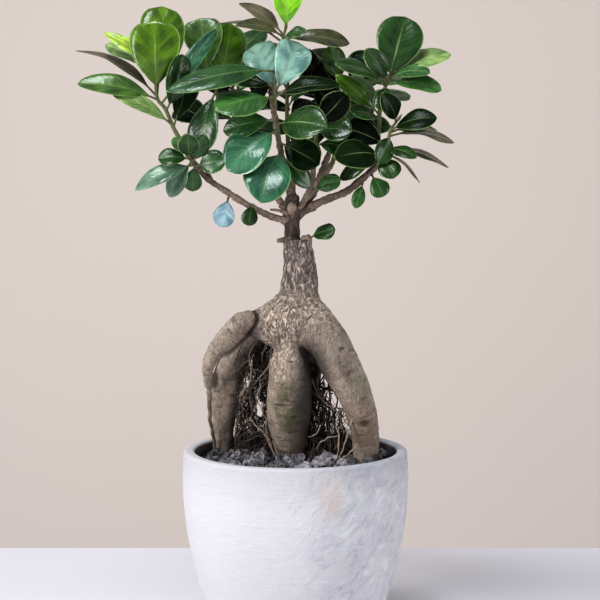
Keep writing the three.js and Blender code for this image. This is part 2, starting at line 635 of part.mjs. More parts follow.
// Skin of the swollen roots and the stock, polygonised cell by cell
function swollenSolid() {
  const routes = SWOLLEN.map((rows) => rows.map((row) => ({ point: seen(row), radius: row[3] })));
  const box = new THREE.Box3();
  for (const { point, radius } of routes.flat())
    box.union(new THREE.Box3().setFromCenterAndSize(point, new THREE.Vector3().setScalar(2 * radius)));
  box.expandByScalar(SKIN_CELL);
  const size = box.getSize(new THREE.Vector3()).divideScalar(SKIN_CELL).ceil();
  const values = new Map();
  const key = (i, j, k) => (i * 1000 + j) * 1000 + k;
  const at = (i, j, k) => new THREE.Vector3(i, j, k).multiplyScalar(SKIN_CELL).add(box.min);
  const valueAt = (i, j, k) => {
    const id = key(i, j, k);
    if (!values.has(id)) values.set(id, swollenDistance(at(i, j, k), routes));
    return values.get(id);
  };
  const positions = [];
  for (let i = 0; i < size.x; i++)
    for (let j = 0; j < size.y; j++)
      for (let k = 0; k < size.z; k++) {
        const corners = CORNERS.map(([a, b, c]) => [i + a, j + b, k + c]);
        const inside = corners.map((corner) => valueAt(...corner));
        const kind = inside.reduce((sum, d, n) => sum + (d < 0 ? 1 << n : 0), 0);
        for (let n = kind * 16; triTable[n] >= 0; n++) {
          const [a, b] = EDGES[triTable[n]];
          const share = THREE.MathUtils.clamp(inside[a] / (inside[a] - inside[b]), 0.12, 0.88);
          positions.unshift(at(...corners[a]).lerp(at(...corners[b]), share));
        }
      }
  const skin = new THREE.BufferGeometry().setFromPoints(positions);
  return solidOf(skin);
}

function trunkSolid() {
  let trunk = swollenSolid().add(limbOf(GRAFT, 10));
  for (const rows of WOOD) trunk = trunk.add(limbOf(rows, 5));
  for (const rows of PRUNED_STUBS) trunk = trunk.add(limbOf(rows, 5));
  for (const rows of FINE_ROOTS) trunk = trunk.add(limbOf(rows, 4));
  return largestBody(trunk);
}

// Outer radius of the pot at a height, widest a little under the lip
const POT_OUTER = [
  [44, 0], [47, 1.6], [50.4, 8], [56.4, 24], [62, 44], [66, 67], [POT_RADIUS, 92],
  [POT_RADIUS - 0.7, POT_HEIGHT - LIP_ROUND],
];
const POT_INNER = [
  [43, POT_FLOOR],
  ...POT_OUTER.filter(([, z]) => z > POT_FLOOR + 4).map(([r, z]) => [r - POT_WALL, z]),
];

// Radius of the pot's inside at a height
function insideRadius(z) {
  const above = Math.max(POT_INNER.findIndex((p) => p[1] > z), 1);
  const [low, high] = [POT_INNER[above - 1], POT_INNER[above]];
  return low[0] + ((z - low[1]) / (high[1] - low[1])) * (high[0] - low[0]);
}

function potSolid() {
  const [lipOuter, lipInner] = [POT_OUTER.at(-1)[0], POT_INNER.at(-1)[0]];
  const profile = [
    [0, 0], ...POT_OUTER,
    [lipOuter - LIP_ROUND * 0.3, POT_HEIGHT - LIP_ROUND * 0.3], [lipOuter - LIP_ROUND, POT_HEIGHT],
    [lipInner + LIP_ROUND, POT_HEIGHT], [lipInner + LIP_ROUND * 0.3, POT_HEIGHT - LIP_ROUND * 0.3],
    ...POT_INNER.toReversed(), [0, POT_FLOOR],
  ];
  return turned(profile);
}

// A solid turned round the pot's axis
function turned(profile) {
  const lathe = new THREE.LatheGeometry(profile.map(([r, z]) => new THREE.Vector2(r, z)), POT_SIDES);
  return solidOf(lathe.rotateX(Math.PI / 2));
}

// A filling of the pot between two heights, kept off the wall
function filling(low, high) {
  const levels = [low, ...POT_INNER.map((p) => p[1]).filter((z) => z > low + 3 && z < high - 9), high];
  const profile = levels.map((z) => [insideRadius(z) - GAP - 0.1, z]);
  return turned([[0, low], ...profile, [0, high]]);
}

// Plain holes that the swollen roots stand in
function cutRootHoles(solid) {
  let cut = solid;
  for (const rows of ROOTS_IN_SOIL)
    cut = cut.subtract(limbOf(rows.filter((row) => row[1] < 125), HOLE_SIDES, GAP + 0.9));
  return cut;
}

function soilSolid() {
  return largestBody(cutRootHoles(filling(POT_FLOOR + GAP, SOIL_TOP)));
}

// Angular stones in a spiral over the whole surface, sunk into the bed that holds them together
function gravelSolid() {
  const draw = drawFrom(7);
  const reach = insideRadius(BED_TOP) - STONE_SIZE[1] - 0.6;
  const count = Math.round((Math.PI * reach * reach) / (STONE_SPACING * STONE_SPACING));
  let bed = filling(SOIL_TOP + GAP, BED_TOP);
  for (let i = 0; i < count; i++) {
    const radius = reach * Math.sqrt((i + 0.5) / count);
    const stone = new THREE.OctahedronGeometry(1, 0)
      .rotateX(6 * draw())
      .rotateY(6 * draw())
      .rotateZ(6 * draw());
    const size = STONE_SIZE[0] + (STONE_SIZE[1] - STONE_SIZE[0]) * draw();
    stone.scale(size, size * (0.7 + 0.3 * draw()), size * (0.5 + 0.2 * draw()));
    stone.rotateZ(6 * draw());
    const turn = i * GOLDEN_ANGLE;
    stone.translate(radius * Math.cos(turn), radius * Math.sin(turn), BED_TOP + 1.6 * draw());
    bed = bed.add(solidOf(stone));
  }
  return largestBody(cutRootHoles(bed));
}

const MATERIALS = {
  concrete: new THREE.MeshStandardMaterial({ color: 0xd9d8d8, roughness: 0.85, metalness: 0 }),
  soil: new THREE.MeshStandardMaterial({ color: 0x1d1916, roughness: 1, metalness: 0 }),
  gravel: new THREE.MeshStandardMaterial({ color: 0x565d66, roughness: 0.9, metalness: 0 }),
  bark: new THREE.MeshStandardMaterial({ color: 0x9c8873, roughness: 0.8, metalness: 0 }),
  leaf: new THREE.MeshStandardMaterial({ color: 0x2f6b33, roughness: 0.35, metalness: 0 }),
  young: new THREE.MeshStandardMaterial({ color: 0x6fa334, roughness: 0.4, metalness: 0 }),
};
const YOUNG = ["shoot_left"];

function addNode(group, name, solid, material) {
  const mesh = new THREE.Mesh(geometryOf(solid), material);
  mesh.name = name;
  group.add(mesh);
}

const plant = new THREE.Group();
addNode(plant, "pot", potSolid(), MATERIALS.concrete);
addNode(plant, "potting_soil", soilSolid(), MATERIALS.soil);
addNode(plant, "gravel", gravelSolid(), MATERIALS.gravel);
addNode(plant, "ginseng_trunk", trunkSolid(), MATERIALS.bark);
for (const [name, solid] of leafySolids())
  addNode(plant, name, solid, YOUNG.includes(name) ? MATERIALS.young : MATERIALS.leaf);

export default plant;
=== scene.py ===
"""A ginseng ficus in a whitewashed concrete pot, dressed over its CAD frame."""

import math

import bpy
import numpy as np
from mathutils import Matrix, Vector, noise


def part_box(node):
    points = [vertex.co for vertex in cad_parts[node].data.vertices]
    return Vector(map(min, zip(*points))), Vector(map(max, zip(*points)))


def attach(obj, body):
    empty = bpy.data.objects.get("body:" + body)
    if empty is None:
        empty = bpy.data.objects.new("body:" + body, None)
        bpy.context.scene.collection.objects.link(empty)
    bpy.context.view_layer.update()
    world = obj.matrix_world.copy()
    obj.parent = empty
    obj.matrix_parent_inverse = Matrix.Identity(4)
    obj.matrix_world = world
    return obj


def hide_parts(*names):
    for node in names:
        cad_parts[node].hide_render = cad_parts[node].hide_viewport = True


bl_info = {
    "name": "Potted ginseng ficus",
    "version": (1, 0, 0),
    "blender": (4, 5, 0),
    "location": "View3D > Sidebar > Ficus",
    "description": "Builds the pot, gravel, swollen roots and leafy stems of a ginseng ficus",
    "category": "Add Mesh",
}

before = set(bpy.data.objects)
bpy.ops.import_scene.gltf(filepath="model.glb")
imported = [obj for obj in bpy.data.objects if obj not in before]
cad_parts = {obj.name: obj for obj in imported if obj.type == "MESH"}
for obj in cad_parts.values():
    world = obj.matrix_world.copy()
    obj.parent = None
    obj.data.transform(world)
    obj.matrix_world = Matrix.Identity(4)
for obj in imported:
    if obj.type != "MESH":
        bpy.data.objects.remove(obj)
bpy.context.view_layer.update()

# Plant and pot are worked out in millimetres, and meshes are written in metres
MM = 0.001
DEGREE = math.pi / 180
GOLDEN_ANGLE = 137.5 * DEGREE

# Pot: height and greatest radius from the frame, then its wall, floor and rounded lip
POT_LOW, POT_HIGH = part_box("pot")
POT_HEIGHT = (POT_HIGH.z - POT_LOW.z) / MM
POT_RADIUS = round((POT_HIGH.x - POT_LOW.x) / 2 / MM, 1)
POT_WALL = 5.5
POT_FLOOR = 7
LIP_ROUND = 1.6

# The pot's outside below its widest place: radius and height. Then the height of the widest place,
# how far the side draws in above it, the floor's radius, and how much thicker the wall is at the rim
POT_SIDE = [[44, 0], [47, 1.6], [50.4, 8], [56.4, 24], [62, 44], [66, 67]]
WIDEST_HEIGHT = 92
DRAWN_IN = 0.7
FLOOR_RADIUS = 43
RIM_EXTRA = 0.9

# Gravel, from the frame: the top of the soil that the stones lie on
BED_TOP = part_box("gravel")[0].z / MM + 4.2

# The front view that the plant's points are given in: an eye this high and this far from the axis.
# The camera stands there, a little to the right, and looks down by so many degrees
EYE_HEIGHT = 321
EYE_DISTANCE = 1184
EYE_RIGHT = 2.7
LOOK_DOWN = 5.85

SKIN_CELL = 0.8
BLEND = 5
FINGER_BLEND = 1.2
STOCK_TOP = 235.6
ROOT_FOOT = 91.5

# Leaves: how far they keep from other leaves and from wood, and the steps that they are moved by
LEAF_CLEARANCE = 3.6
WOOD_CLEARANCE = 1.5
DEPTH_STEP = 4
MOST_STEPS = 7
SAMPLE_ROWS = 8
GAP = 0.3

# Swollen roots from the hip down into the soil: across, up, behind, radius
OUTER_FINGER = [
    [-28.6, 188.4, -7, 4.8], [-32.4, 185.6, -8, 6.2], [-36.6, 181.4, -8, 6.8], [-41.2, 176.4, -8, 6.4],
    [-45.6, 171.4, -7.5, 5.8], [-50.4, 164.6, -6, 4.4], [-52.4, 157.6, -4, 3.4], [-52.2, 148.5, 0, 2.2],
]
SHOULDER = [[-3, 194, 2, 10], [-14, 189.6, 2, 8.8], [-23, 185.5, 3, 8]]
INNER_LEFT_LOBE = [
    [-14, 186, 8, 9], [-25, 179, 12, 7.2], [-33.6, 171, 14, 6.6], [-39, 162.6, 15, 6.5],
    [-43.2, 154, 18, 6.3], [-45, 145, 21, 5.6], [-45.6, 136, 23, 5], [-45.2, 127, 24, 4.6],
    [-44.8, 119.5, 25, 4.2], [-44, 113.5, 25.5, 3.3],
]
INNER_LEFT_ROOT = [
    [-10, 188, 8, 10], [-21, 181, 12, 8], [-29.5, 172.5, 15, 6], [-33.5, 163.9, 17, 5.8],
    [-36.6, 155, 19, 6.2], [-38, 146, 21, 6.4], [-40, 137.2, 23, 6.2], [-41.6, 128.4, 24, 5.8],
    [-42.4, 119.5, 25, 5.2], [-42.8, 110.6, 26, 4.4], [-42.6, 90, 26, 3.8],
]
MIDDLE_ROOT = [
    [-2, 188, 2, 12], [-3.2, 171.5, -2, 8.9], [-3.4, 161, -3, 11.6], [-3.2, 150, -2, 13.2],
    [-3.6, 140, 0, 13.5], [-4, 131, 3, 13.2], [-4, 122.4, 6, 12.1], [-3.4, 113, 9, 10],
    [-3, 106, 11, 8.1], [-2.6, 90, 12, 6],
]
RIGHT_ROOT = [
    [3, 193, 4, 13], [9, 187, 0, 13], [19.5, 174.7, -6, 12], [26.5, 161, -9, 11.9],
    [32.3, 150.3, -10, 10.8], [37, 139, -9, 9.8], [40.5, 126.6, -6, 9.1], [42, 116, -3, 8.2],
    [41.8, 104, -2, 7.3], [41.6, 88, -2, 6],
]
BACK_ROOT = [
    [2, 187, 12, 13], [5, 172, 24, 10.5], [4, 155, 34, 11.4], [2, 138, 40, 11.2],
    [0, 122, 43, 9.4], [-1, 106, 44, 7.2], [-1, 88, 44, 6],
]
HIP_LOBE = [[-4, 190, -1, 13], [-10, 185.5, -1, 10.5], [-14.5, 179.5, -2, 7]]
STOCK = [
    [0, 183, 7, 15], [1, 191, 7, 13.5], [1.6, 199.6, 6, 11.2], [2.8, 211.4, 6, 10.8],
    [2.4, 223, 6, 9.3], [1.6, 233, 6, 8.4], [1.4, 244, 6, 8.2],
]

# Fine roots hanging from the hip and between the swollen roots
FINE_ROOTS = [
    [
        [-51.8, 150, 0, 2.4], [-51.4, 140, 5, 1.5], [-51.2, 128, 11, 1.3], [-49.5, 117, 17, 1.2],
        [-48, 111, 20, 1.1],
    ],
    [[-20, 178, 4, 1.2], [-26.5, 170, 2, 0.9], [-28, 161, 4, 0.8], [-30, 152, 10, 0.8], [-34, 142, 18, 0.9]],
    [
        [-16, 176, 4, 1.2], [-20, 166, 4, 0.9], [-18.5, 156, 5, 0.8], [-21, 145, 7, 0.8],
        [-24, 133, 9, 0.8], [-20.5, 121, 12, 0.8], [-13, 115, 13, 0.9],
    ],
    [[-14, 172, 2, 1.1], [-16, 160, 0, 0.8], [-23, 151, 4, 0.8], [-29, 143, 12, 0.8], [-34, 134, 20, 0.9]],
    [[-22, 176, 10, 1.2], [-25, 160, 10, 0.8], [-27, 147, 10, 0.8], [-26, 130, 14, 0.8], [-29, 112, 18, 0.8]],
    [
        [12, 170, 2, 1.3], [14, 159, 6, 0.9], [13, 148, 6, 0.8], [17.5, 137, 6, 0.8], [20, 124, 8, 0.8],
        [17, 111, 10, 0.8],
    ],
    [
        [22, 160, -2, 1.3], [21, 150, 2, 0.9], [25, 139, 4, 0.8], [22, 128, 6, 0.8], [26, 118, 5, 0.8],
        [24, 110, 4, 0.8],
    ],
    [[26, 152, -4, 1.2], [29, 140, 0, 0.9], [27, 128, 2, 0.8], [31, 118, 2, 0.8], [38, 114, 0, 0.9]],
    [[8, 156, 0, 1.1], [13, 144, 1, 0.8], [20, 136, 0, 0.8], [28, 134, -2, 0.8], [34, 130, -5, 0.9]],
    [[9, 134, 4, 1.1], [14, 126, 6, 0.9], [11, 118, 8, 0.8], [15, 112, 8, 0.8]],
]

# Bleached thread roots in front of the gaps: across, up, behind, radius
THREAD_ROOTS = [
    [
        [36, 133, -12, 0.7], [33.6, 127, -14, 0.75], [31.5, 119, -15, 0.7], [28.8, 111, -15, 0.6],
        [26, 103, -14, 0.5],
    ],
    [[37, 112.5, -14, 0.7], [33, 108, -16, 0.75], [29, 105, -16, 0.7], [25, 101.5, -15, 0.5]],
    [[24, 124.5, -6, 0.5], [26, 118, -10, 0.65], [25.8, 111, -12, 0.65], [25.2, 103, -12, 0.55]],
    [[25, 117.5, -10, 0.5], [20, 116.5, -9, 0.6], [15, 114, -6, 0.6], [12.5, 110, -2, 0.5]],
    [[15, 124.5, -4, 0.45], [13.4, 120.5, -5, 0.55], [11, 118, -5, 0.5], [7.5, 117.6, -4, 0.4]],
    [
        [-27, 129, 0, 0.4], [-24, 124, -2, 0.5], [-19.4, 120, -2, 0.55], [-15, 112, -1, 0.55],
        [-11, 104, 0, 0.5],
    ],
    [[-17, 128, 2, 0.4], [-17.4, 121, 0, 0.5], [-14.6, 113, 0, 0.5], [-13, 105, 1, 0.45]],
    [[-33, 160, 6, 0.4], [-27.4, 163, 0, 0.55], [-26.8, 152, 0, 0.6], [-29, 143, 4, 0.5], [-26, 136, 6, 0.4]],
    [[-29.4, 150, 4, 0.9], [-30.6, 145, 2, 1.2], [-33.5, 140, 4, 0.8], [-31, 134, 6, 0.4]],
    [[-22, 154, 4, 0.4], [-21, 147, 2, 0.5], [-23.4, 141, 2, 0.5], [-20.5, 134, 3, 0.4], [-17, 128, 4, 0.4]],
]

# Spaces between and behind the swollen roots where hair roots hang: two corners (across, behind, up), how
# many, how pale they can be, least and greatest radius. The dense, nearly black roots in the back spaces are
# partly painted shade behind the gaps
ROOT_GAPS = [
    ((-36, 2, 104), (-15, 20, 174), 250, 0.45, 0.13, 0.4),
    ((9, 0, 104), (32, 20, 164), 250, 0.7, 0.13, 0.38),
    ((7, 4, 106), (17, 22, 162), 130, 0.15, 0.15, 0.45),
    ((-25, 3, 158), (-11, 20, 176), 90, 0.12, 0.2, 0.6),
    ((-36, 18, 106), (-15, 34, 172), 300, 0.1, 0.15, 0.45),
    ((8, 18, 106), (30, 32, 168), 120, 0.1, 0.15, 0.4),
    ((-34, 12, 108), (-16, 30, 174), 60, 0.08, 0.5, 1.1),
    ((9, 8, 108), (30, 28, 160), 60, 0.08, 0.5, 1.1),
]

# Hair roots: their seed and the length of one step. Hanging strands: a step, and the seed and size of
# their small kinks
HAIR_SEED = 77
HAIR_STEP = 2.7
STRAND_STEP = 2.2
KINK_SEED = 8
KINK = 0.7

# Open places in the web of hair roots, as the front shows them: across, up, half width, half height
WEB_HOLES = [
    (-21.9, 131.4, 1.6, 5.4), (-30.6, 147, 1.2, 2.6), (-28.6, 136.4, 0.9, 1.4), (-23, 138.6, 0.8, 1.2),
    (25.6, 137, 2.9, 6.4), (15.6, 152, 1.1, 1.6), (19.4, 149, 1.2, 1.8), (17.8, 156.5, 1, 1.4),
    (22.6, 145.5, 1, 1.5),
]

# Bark of the branches: the size and the height of its grain
BARK_GRAIN = 1 / 0.6
BARK_ROUGHNESS = 0.25

# Grafted stem and its wood: across, up, behind, radius
GRAFT = [
    [-1.8, 230, 6, 5], [-1.8, 238, 6, 4.6], [-2.2, 245.7, 6, 4.9], [-1.8, 253, 6, 5.4], [-1.8, 258.7, 6, 4.2],
]
LEFT_BRANCH = [
    [-2, 246, 6, 2.8], [-7, 247.4, 5, 2.2], [-15, 249.7, 3, 2], [-27, 255.6, 1, 1.9],
    [-39.4, 263.3, -1, 1.8], [-52.4, 272.2, -2, 1.7], [-60, 281.7, -2, 1.5], [-66.6, 292.3, -2, 1.4],
]
RIGHT_BRANCH = [
    [-1, 249, 6, 3], [4, 252, 6, 2.7], [15.7, 258.4, 6, 2.4], [29.3, 263.8, 5, 2.2],
    [38.2, 270.6, 5, 2.1], [47, 278.6, 6, 1.9], [49.4, 282.9, 6, 1.8],
]
INNER_BRANCH = [[0, 253, 5, 2.2], [4.4, 257.4, 4, 2], [9.2, 267.5, 3, 1.8], [11, 282.3, 2, 1.5]]
INNER_RIGHT_BRANCH = [
    [1, 254, 8, 2.4], [9.8, 261.5, 10, 2], [15.7, 276.4, 11, 1.9], [22.8, 294, 12, 1.6],
]
MIDDLE_BRANCH = [
    [-2, 256, 7, 2.4], [-5.6, 273.4, 7, 1.9], [-9.8, 294, 7, 1.7], [-13.3, 314.8, 8, 1.6],
    [-14.5, 326, 9, 1.6], [-14.5, 334.5, 9, 1.9],
]
BACK_LEFT_BRANCH = [[-3, 252, 9, 2.4], [-12, 262, 22, 1.9], [-22, 277, 34, 1.5]]
BACK_RIGHT_BRANCH = [[1, 253, 9, 2.4], [11, 264, 24, 1.9], [21, 280, 36, 1.5]]
BACK_BRANCH = [[-2, 254, 9, 2.4], [-2, 270, 26, 1.8], [-4, 288, 38, 1.4]]
FRONT_SPUR = [[-6.6, 278, 7, 1.5], [-8, 281, 1.5, 1.3]]
MIDDLE_SPUR = [[-12.6, 311, 8, 1.4], [-12, 314, 3, 1.2]]
LEFT_LOW_SPUR = [[-55.6, 276, -2, 1.4], [-57.5, 278, -5.6, 1.2]]
LEFT_BACK_SPUR = [[-50, 270.5, -2, 1.5], [-52.5, 277, 3, 1.3], [-53.5, 284, 8, 1.3]]
RIGHT_LOW_SPUR = [[44.5, 275.5, 5.5, 1.5], [48, 279, 0, 1.3]]
# Stubs and twigs that were cut off near the graft
PRUNED_STUBS = [
    [[-2, 252, 4, 3], [-2, 256.4, -1.2, 2.5]],
    [[-3, 252, 6, 2.4], [-9.4, 256.4, 5, 1.7]],
    [[-4, 251, 4, 1.6], [-10, 253, 1, 0.9], [-15, 253.4, 0, 0.7]],
    [[-3, 236, 5, 1.9], [-10.8, 235, 3, 1.3]],
    [[5, 235, 4, 3.2], [8.6, 236.6, 2.5, 2.4]],
]
WOOD = [
    LEFT_BRANCH, RIGHT_BRANCH, INNER_BRANCH, INNER_RIGHT_BRANCH, MIDDLE_BRANCH, BACK_LEFT_BRANCH,
    BACK_RIGHT_BRANCH, BACK_BRANCH, FRONT_SPUR, MIDDLE_SPUR, LEFT_LOW_SPUR, LEFT_BACK_SPUR, RIGHT_LOW_SPUR,
]

# Leafy stems. Each starts at the cut end of its wood and follows its own route. Its leaves are rows
# of base (across, up, behind), tip (across, up, behind), width, and how far the upper face leans
# from facing the front towards facing up, and turns towards the right, in degrees.
LEAFY_STEMS = [
    {
        "name": "shoot_left",
        "wood": LEFT_BRANCH,
        "route": [
            [-71.9, 301.8, -2, 1.2], [-76.7, 313, -2, 1.1],
            [-81.4, 319.5, -2, 1], [-82.8, 336, -1, 0.8],
        ],
        "leaves": [
            [-82, 321, -3, -83, 364, -10, 30, 10, 0],
            [-81, 321, -1, -78, 373, 9, 27, 0, 15],
            [-83, 334, -1, -86, 367, 3, 15, 0, -20],
            [-83, 335, -1, -111, 359, -4, 9, 48, 0],
            [-83, 334, 0, -111.5, 352, 6, 12, 48, -10],
            [-82, 320, -1, -128, 349.5, 14, 15, 77, 0],
            [-81, 317.5, -3, -128, 328.5, -12, 17, 40, 0],
            [-72, 304, -3, -107, 321, -14, 12, 40, 0],
            [-72, 302, -1, -63.5, 337, 10, 18, 5, 20],
            [-76, 312, -3, -65, 344, -8, 18, 0, 35],
            [-79, 316, -3, -46, 360, 4, 10, 20, 20],
        ],
        "tones": "bright bright bright yellow pale brown grass pale deep dark teal",
    },
    {
        "name": "twig_left_low",
        "wood": LEFT_LOW_SPUR,
        "route": [[-60, 281, -8, 1], [-63, 284, -10, 0.9], [-65.5, 287.5, -11, 0.7]],
        "leaves": [
            [-62, 283.5, -10, -81, 284, -14, 13, 40, 0],
            [-59, 280, -8, -95, 266, -20, 14, 40, -10],
            [-61, 282, -9, -75, 261, -8, 12, 30, 0],
            [-62, 284, -10, -64, 298, -17, 13, 0, 0],
            [-60, 282, -9, -53, 297, -14, 11, 10, 20],
            [-65, 287, -11, -72, 296, -13, 7, 20, 0],
            [-58.5, 279.5, -7, -41.5, 283, -15, 15, 15, 0],
            [-59.5, 280.5, -8, -61, 264, -4, 11, 0, 0],
        ],
        "tones": "dark dusty dusty dark green mid green mid",
    },
    {
        "name": "shoot_left_back",
        "wood": LEFT_BACK_SPUR,
        "route": [
            [-54, 294, 13, 1.2], [-50, 303, 17, 1.1], [-46, 314, 19, 1],
            [-47, 325, 19, 0.9], [-51, 333, 18, 0.8],
        ],
        "leaves": [
            [-51, 332, 18, -56, 366, 20, 24, 0, -10],
            [-47, 325, 19, -38, 363, 24, 24, 0, 10],
            [-46.6, 323, 18, -59, 288, 2, 20, 15, -20],
            [-50, 303, 18, -70, 316, 34, 20, 40, -20],
            [-46, 314, 20, -33, 322, 42, 18, 50, 0],
            [-53, 298, 15, -74, 286, 30, 18, 40, -20],
            [-50, 331, 20, -62, 345, 44, 20, 50, -20],
        ],
        "tones": "grass olive green deep green mid mid",
    },
    {
        "name": "shoot_centre",
        "wood": MIDDLE_SPUR,
        "route": [
            [-12, 319, 1, 1.1], [-12, 328, 0, 1.1], [-10.5, 340, 2, 1],
            [-8, 351, 5, 0.9], [-6, 359, 6, 0.8],
        ],
        "leaves": [
            [-11.2, 335, 0, -76, 324.5, -20, 20, 48, 0],
            [-12, 319, 0, -47, 312.5, -27, 24, 42, -10],
            [-12, 325, 0, -35, 333, 8, 13, 35, 0],
            [-12, 323, -1, -24, 351, 6, 21, 30, -20],
            [-12, 322, -1, 2, 352, 2, 22, 30, 20],
            [-12, 320, 0, 26, 328, -8, 16, 50, 0],
            [-6, 358, 5, -2, 393, 3, 18, 5, 0],
            [-7, 356, 6, -33, 375, 14, 14, 60, 0],
            [-7, 355, 5, -34, 364, -4, 14, 55, 0],
            [-8, 352, 5, -45, 366, 22, 14, 80, 0],
            [-7, 354, 5, 6, 359, -6, 8, 30, 20],
            [-7, 353, 6, 32, 353, 6, 16, 50, 0],
            [-10, 343, 2, 15, 336, 20, 18, 10, 10],
            [-11, 336, 1, -26, 322, 16, 17, 15, -10],
        ],
        "tones": "green mid deep sheen sheen deep lime brown russet brown dark russet shade shade",
    },
    {
        "name": "spray_front",
        "wood": FRONT_SPUR,
        "route": [[-8.6, 286, -2, 1.2], [-9.4, 294, -5, 1.1], [-10.6, 302, -9, 1], [-11, 307, -12, 0.8]],
        "leaves": [
            [-10.8, 303.5, -11, 18.5, 302.5, -32, 24, 25, 10],
            [-9.2, 293, -5, 14, 281, -12, 20, 10, 10],
            [-10.2, 300.5, -8, -40, 278.5, -26, 26, 20, -15],
            [-8.8, 288, -3, -20.5, 259.5, -32, 28, 40, 0],
            [-11, 306, -11, -43, 301, -10, 18, 40, 0],
            [-8.6, 286, -2, 9, 266, -2, 13, 0, 20],
        ],
        "tones": "dark deep teal teal green green",
    },
    {
        "name": "spray_centre_low",
        "wood": INNER_BRANCH,
        "route": [[11.6, 290, 0, 1.2], [12.4, 298, -2, 1], [13, 305, -2, 0.8]],
        "leaves": [
            [12.6, 300, -2, 33, 300, -16, 17, 35, 0],
            [13, 304, -2, 29, 321, -12, 17, 15, 15],
            [12.2, 297, -1, 4, 318, 10, 16, 20, -10],
            [11.8, 292, -1, 34, 289, -8, 15, 40, 0],
            [13, 303, -1, -5, 299, 12, 18, 10, 0],
            [12.4, 299, 0, 5, 282, 10, 16, 0, 0],
        ],
        "tones": "dark shade shade dark shade dark",
    },
    {
        "name": "spray_centre_right",
        "wood": INNER_RIGHT_BRANCH,
        "route": [[25, 301, 13, 1.2], [27, 312, 14, 1.1], [27.5, 324, 15, 1], [24, 335, 15, 0.8]],
        "leaves": [
            [25.5, 304, 13, 40, 320, 6, 17, 20, 20],
            [26.6, 310, 14, 12, 324, 6, 18, 30, 0],
            [27, 315, 15, 44, 330, 26, 20, 30, 20],
            [27.4, 321, 15, 14, 340, 20, 18, 30, 0],
            [26.6, 328, 15, 21, 350, 8, 14, 10, 0],
            [25.4, 303, 14, 10, 294, 20, 16, 50, 0],
            [24.4, 334, 15, 4, 346, 24, 16, 50, 0],
            [24.4, 334, 15, 47, 343, 24, 15, 35, 0],
            [27, 312, 15, 5, 307, 28, 20, 20, 0],
            [27, 320, 15, 48, 313, 30, 20, 20, 0],
            [25.6, 305, 14, 47, 296, 22, 18, 15, 0],
        ],
        "tones": "dark shade grass shade grass deep deep deep shade shade shade",
    },
    {
        "name": "shoot_right",
        "wood": RIGHT_BRANCH,
        "route": [
            [49, 294, 6, 1.4], [49.4, 306, 6, 1.3], [50.5, 318, 6, 1.1],
            [53.5, 327, 6, 1], [56, 331.5, 6, 0.8],
        ],
        "leaves": [
            [54.2, 328.5, 5, 64.5, 367, 6, 28, 5, 0],
            [55.6, 331, 5, 91, 346, 6, 17, 58, 0],
            [56, 331, 7, 80, 348, 18, 9, 40, 10],
            [55, 327, 5, 86, 324, -4, 16, 52, 0],
            [55.6, 330.5, 4, 78, 336, -8, 13, 50, 0],
            [53.4, 326.5, 5, 51, 313, -12, 12, 40, 0],
            [53, 326, 5, 25, 341, -10, 16, 55, 0],
            [54, 328, 7, 36, 345, 18, 14, 40, 0],
            [54.4, 329, 5, 42, 348, -6, 12, 20, -10],
            [49.6, 309, 6, 24, 333, 16, 12, 30, 0],
            [49.4, 306, 4, 34, 313, -18, 13, 40, 0],
        ],
        "tones": "dark pale green mid mid dark dark deep dark olive dark",
    },
    {
        "name": "twig_right_low",
        "wood": RIGHT_LOW_SPUR,
        "route": [[51.5, 285, -4, 1.1], [54.5, 292, -6, 1], [56, 300, -6, 0.9], [60, 306, -5, 0.7]],
        "leaves": [
            [56.4, 300, -6, 82.5, 309.5, -14, 16, 45, 0],
            [55, 297, -6, 94, 296, -2, 18, 76, 0],
            [56, 299, -5, 84, 302, 10, 15, 60, 0],
            [53, 289.5, -5, 91, 280, 0, 16, 76, 0],
            [52.4, 287, -4, 74, 270, 6, 12, 70, 10],
            [51.6, 285, -4, 58, 272, -16, 14, 35, 0],
            [53.4, 289, -5, 71, 286, -20, 11, 50, 0],
            [51, 285, -4, 25, 286, -20, 20, 25, 0],
            [50.4, 283, -3, 25, 273, -2, 14, 45, 0],
            [59.4, 305, -5, 52, 322, -8, 12, 20, 0],
            [54, 291, -6, 27, 303, -6, 18, 35, 0],
            [56, 298, -6, 49, 281, -14, 12, 20, 20],
        ],
        "tones": "deep brown dark brown brown dark dark deep dark deep shade dark",
    },
    {
        "name": "shoot_back_left",
        "wood": BACK_LEFT_BRANCH,
        "route": [[-30, 296, 44, 1.3], [-36, 318, 50, 1.1], [-38, 338, 50, 0.8]],
        "leaves": [],
        "tones": "",
        "fill": {"count": 12, "seed": 11, "heading": 115},
    },
    {
        "name": "shoot_back_right",
        "wood": BACK_RIGHT_BRANCH,
        "route": [[27, 298, 46, 1.3], [32, 314, 50, 1.1], [32, 326, 50, 0.8]],
        "leaves": [],
        "tones": "",
        "fill": {"count": 12, "seed": 29, "heading": 65},
    },
    {
        "name": "shoot_back",
        "wood": BACK_BRANCH,
        "route": [[-5, 304, 44, 1.3], [-5, 320, 47, 1.1], [-4, 335, 46, 0.8]],
        "leaves": [],
        "tones": "",
        "fill": {"count": 12, "seed": 57, "heading": 90},
    },
]

# Single leaves on bare wood: name, one row each as above, and a tone; the hanging leaf on the left is painted
# pale blue as a reflection of the sky
LONE_LEAVES = [
    ["leaf_left_hanging", [-39.6, 260.9, -1.4, -44, 243, -4, 13, 10, 0], "sky"],
    ["leaf_left_inner", [-25.3, 256.9, -1.1, -28.1, 244.4, -6, 10, 20, 0], "dark"],
    ["leaf_stock", [9.1, 236.85, 2.3, 22.8, 242.4, -5, 12, 40, 0], "dark"],
    ["leaf_inner", [10.5, 265.2, 3, 26, 272, -4, 11, 25, 0], "mid"],
    ["leaf_right_hanging", [45.2, 273.9, 4, 52, 261.5, -3, 12, 15, 0], "mid"],
    ["leaf_right_small", [39.8, 269.2, 3.4, 35.5, 254.5, -4, 8, 25, 0], "mid"],
]

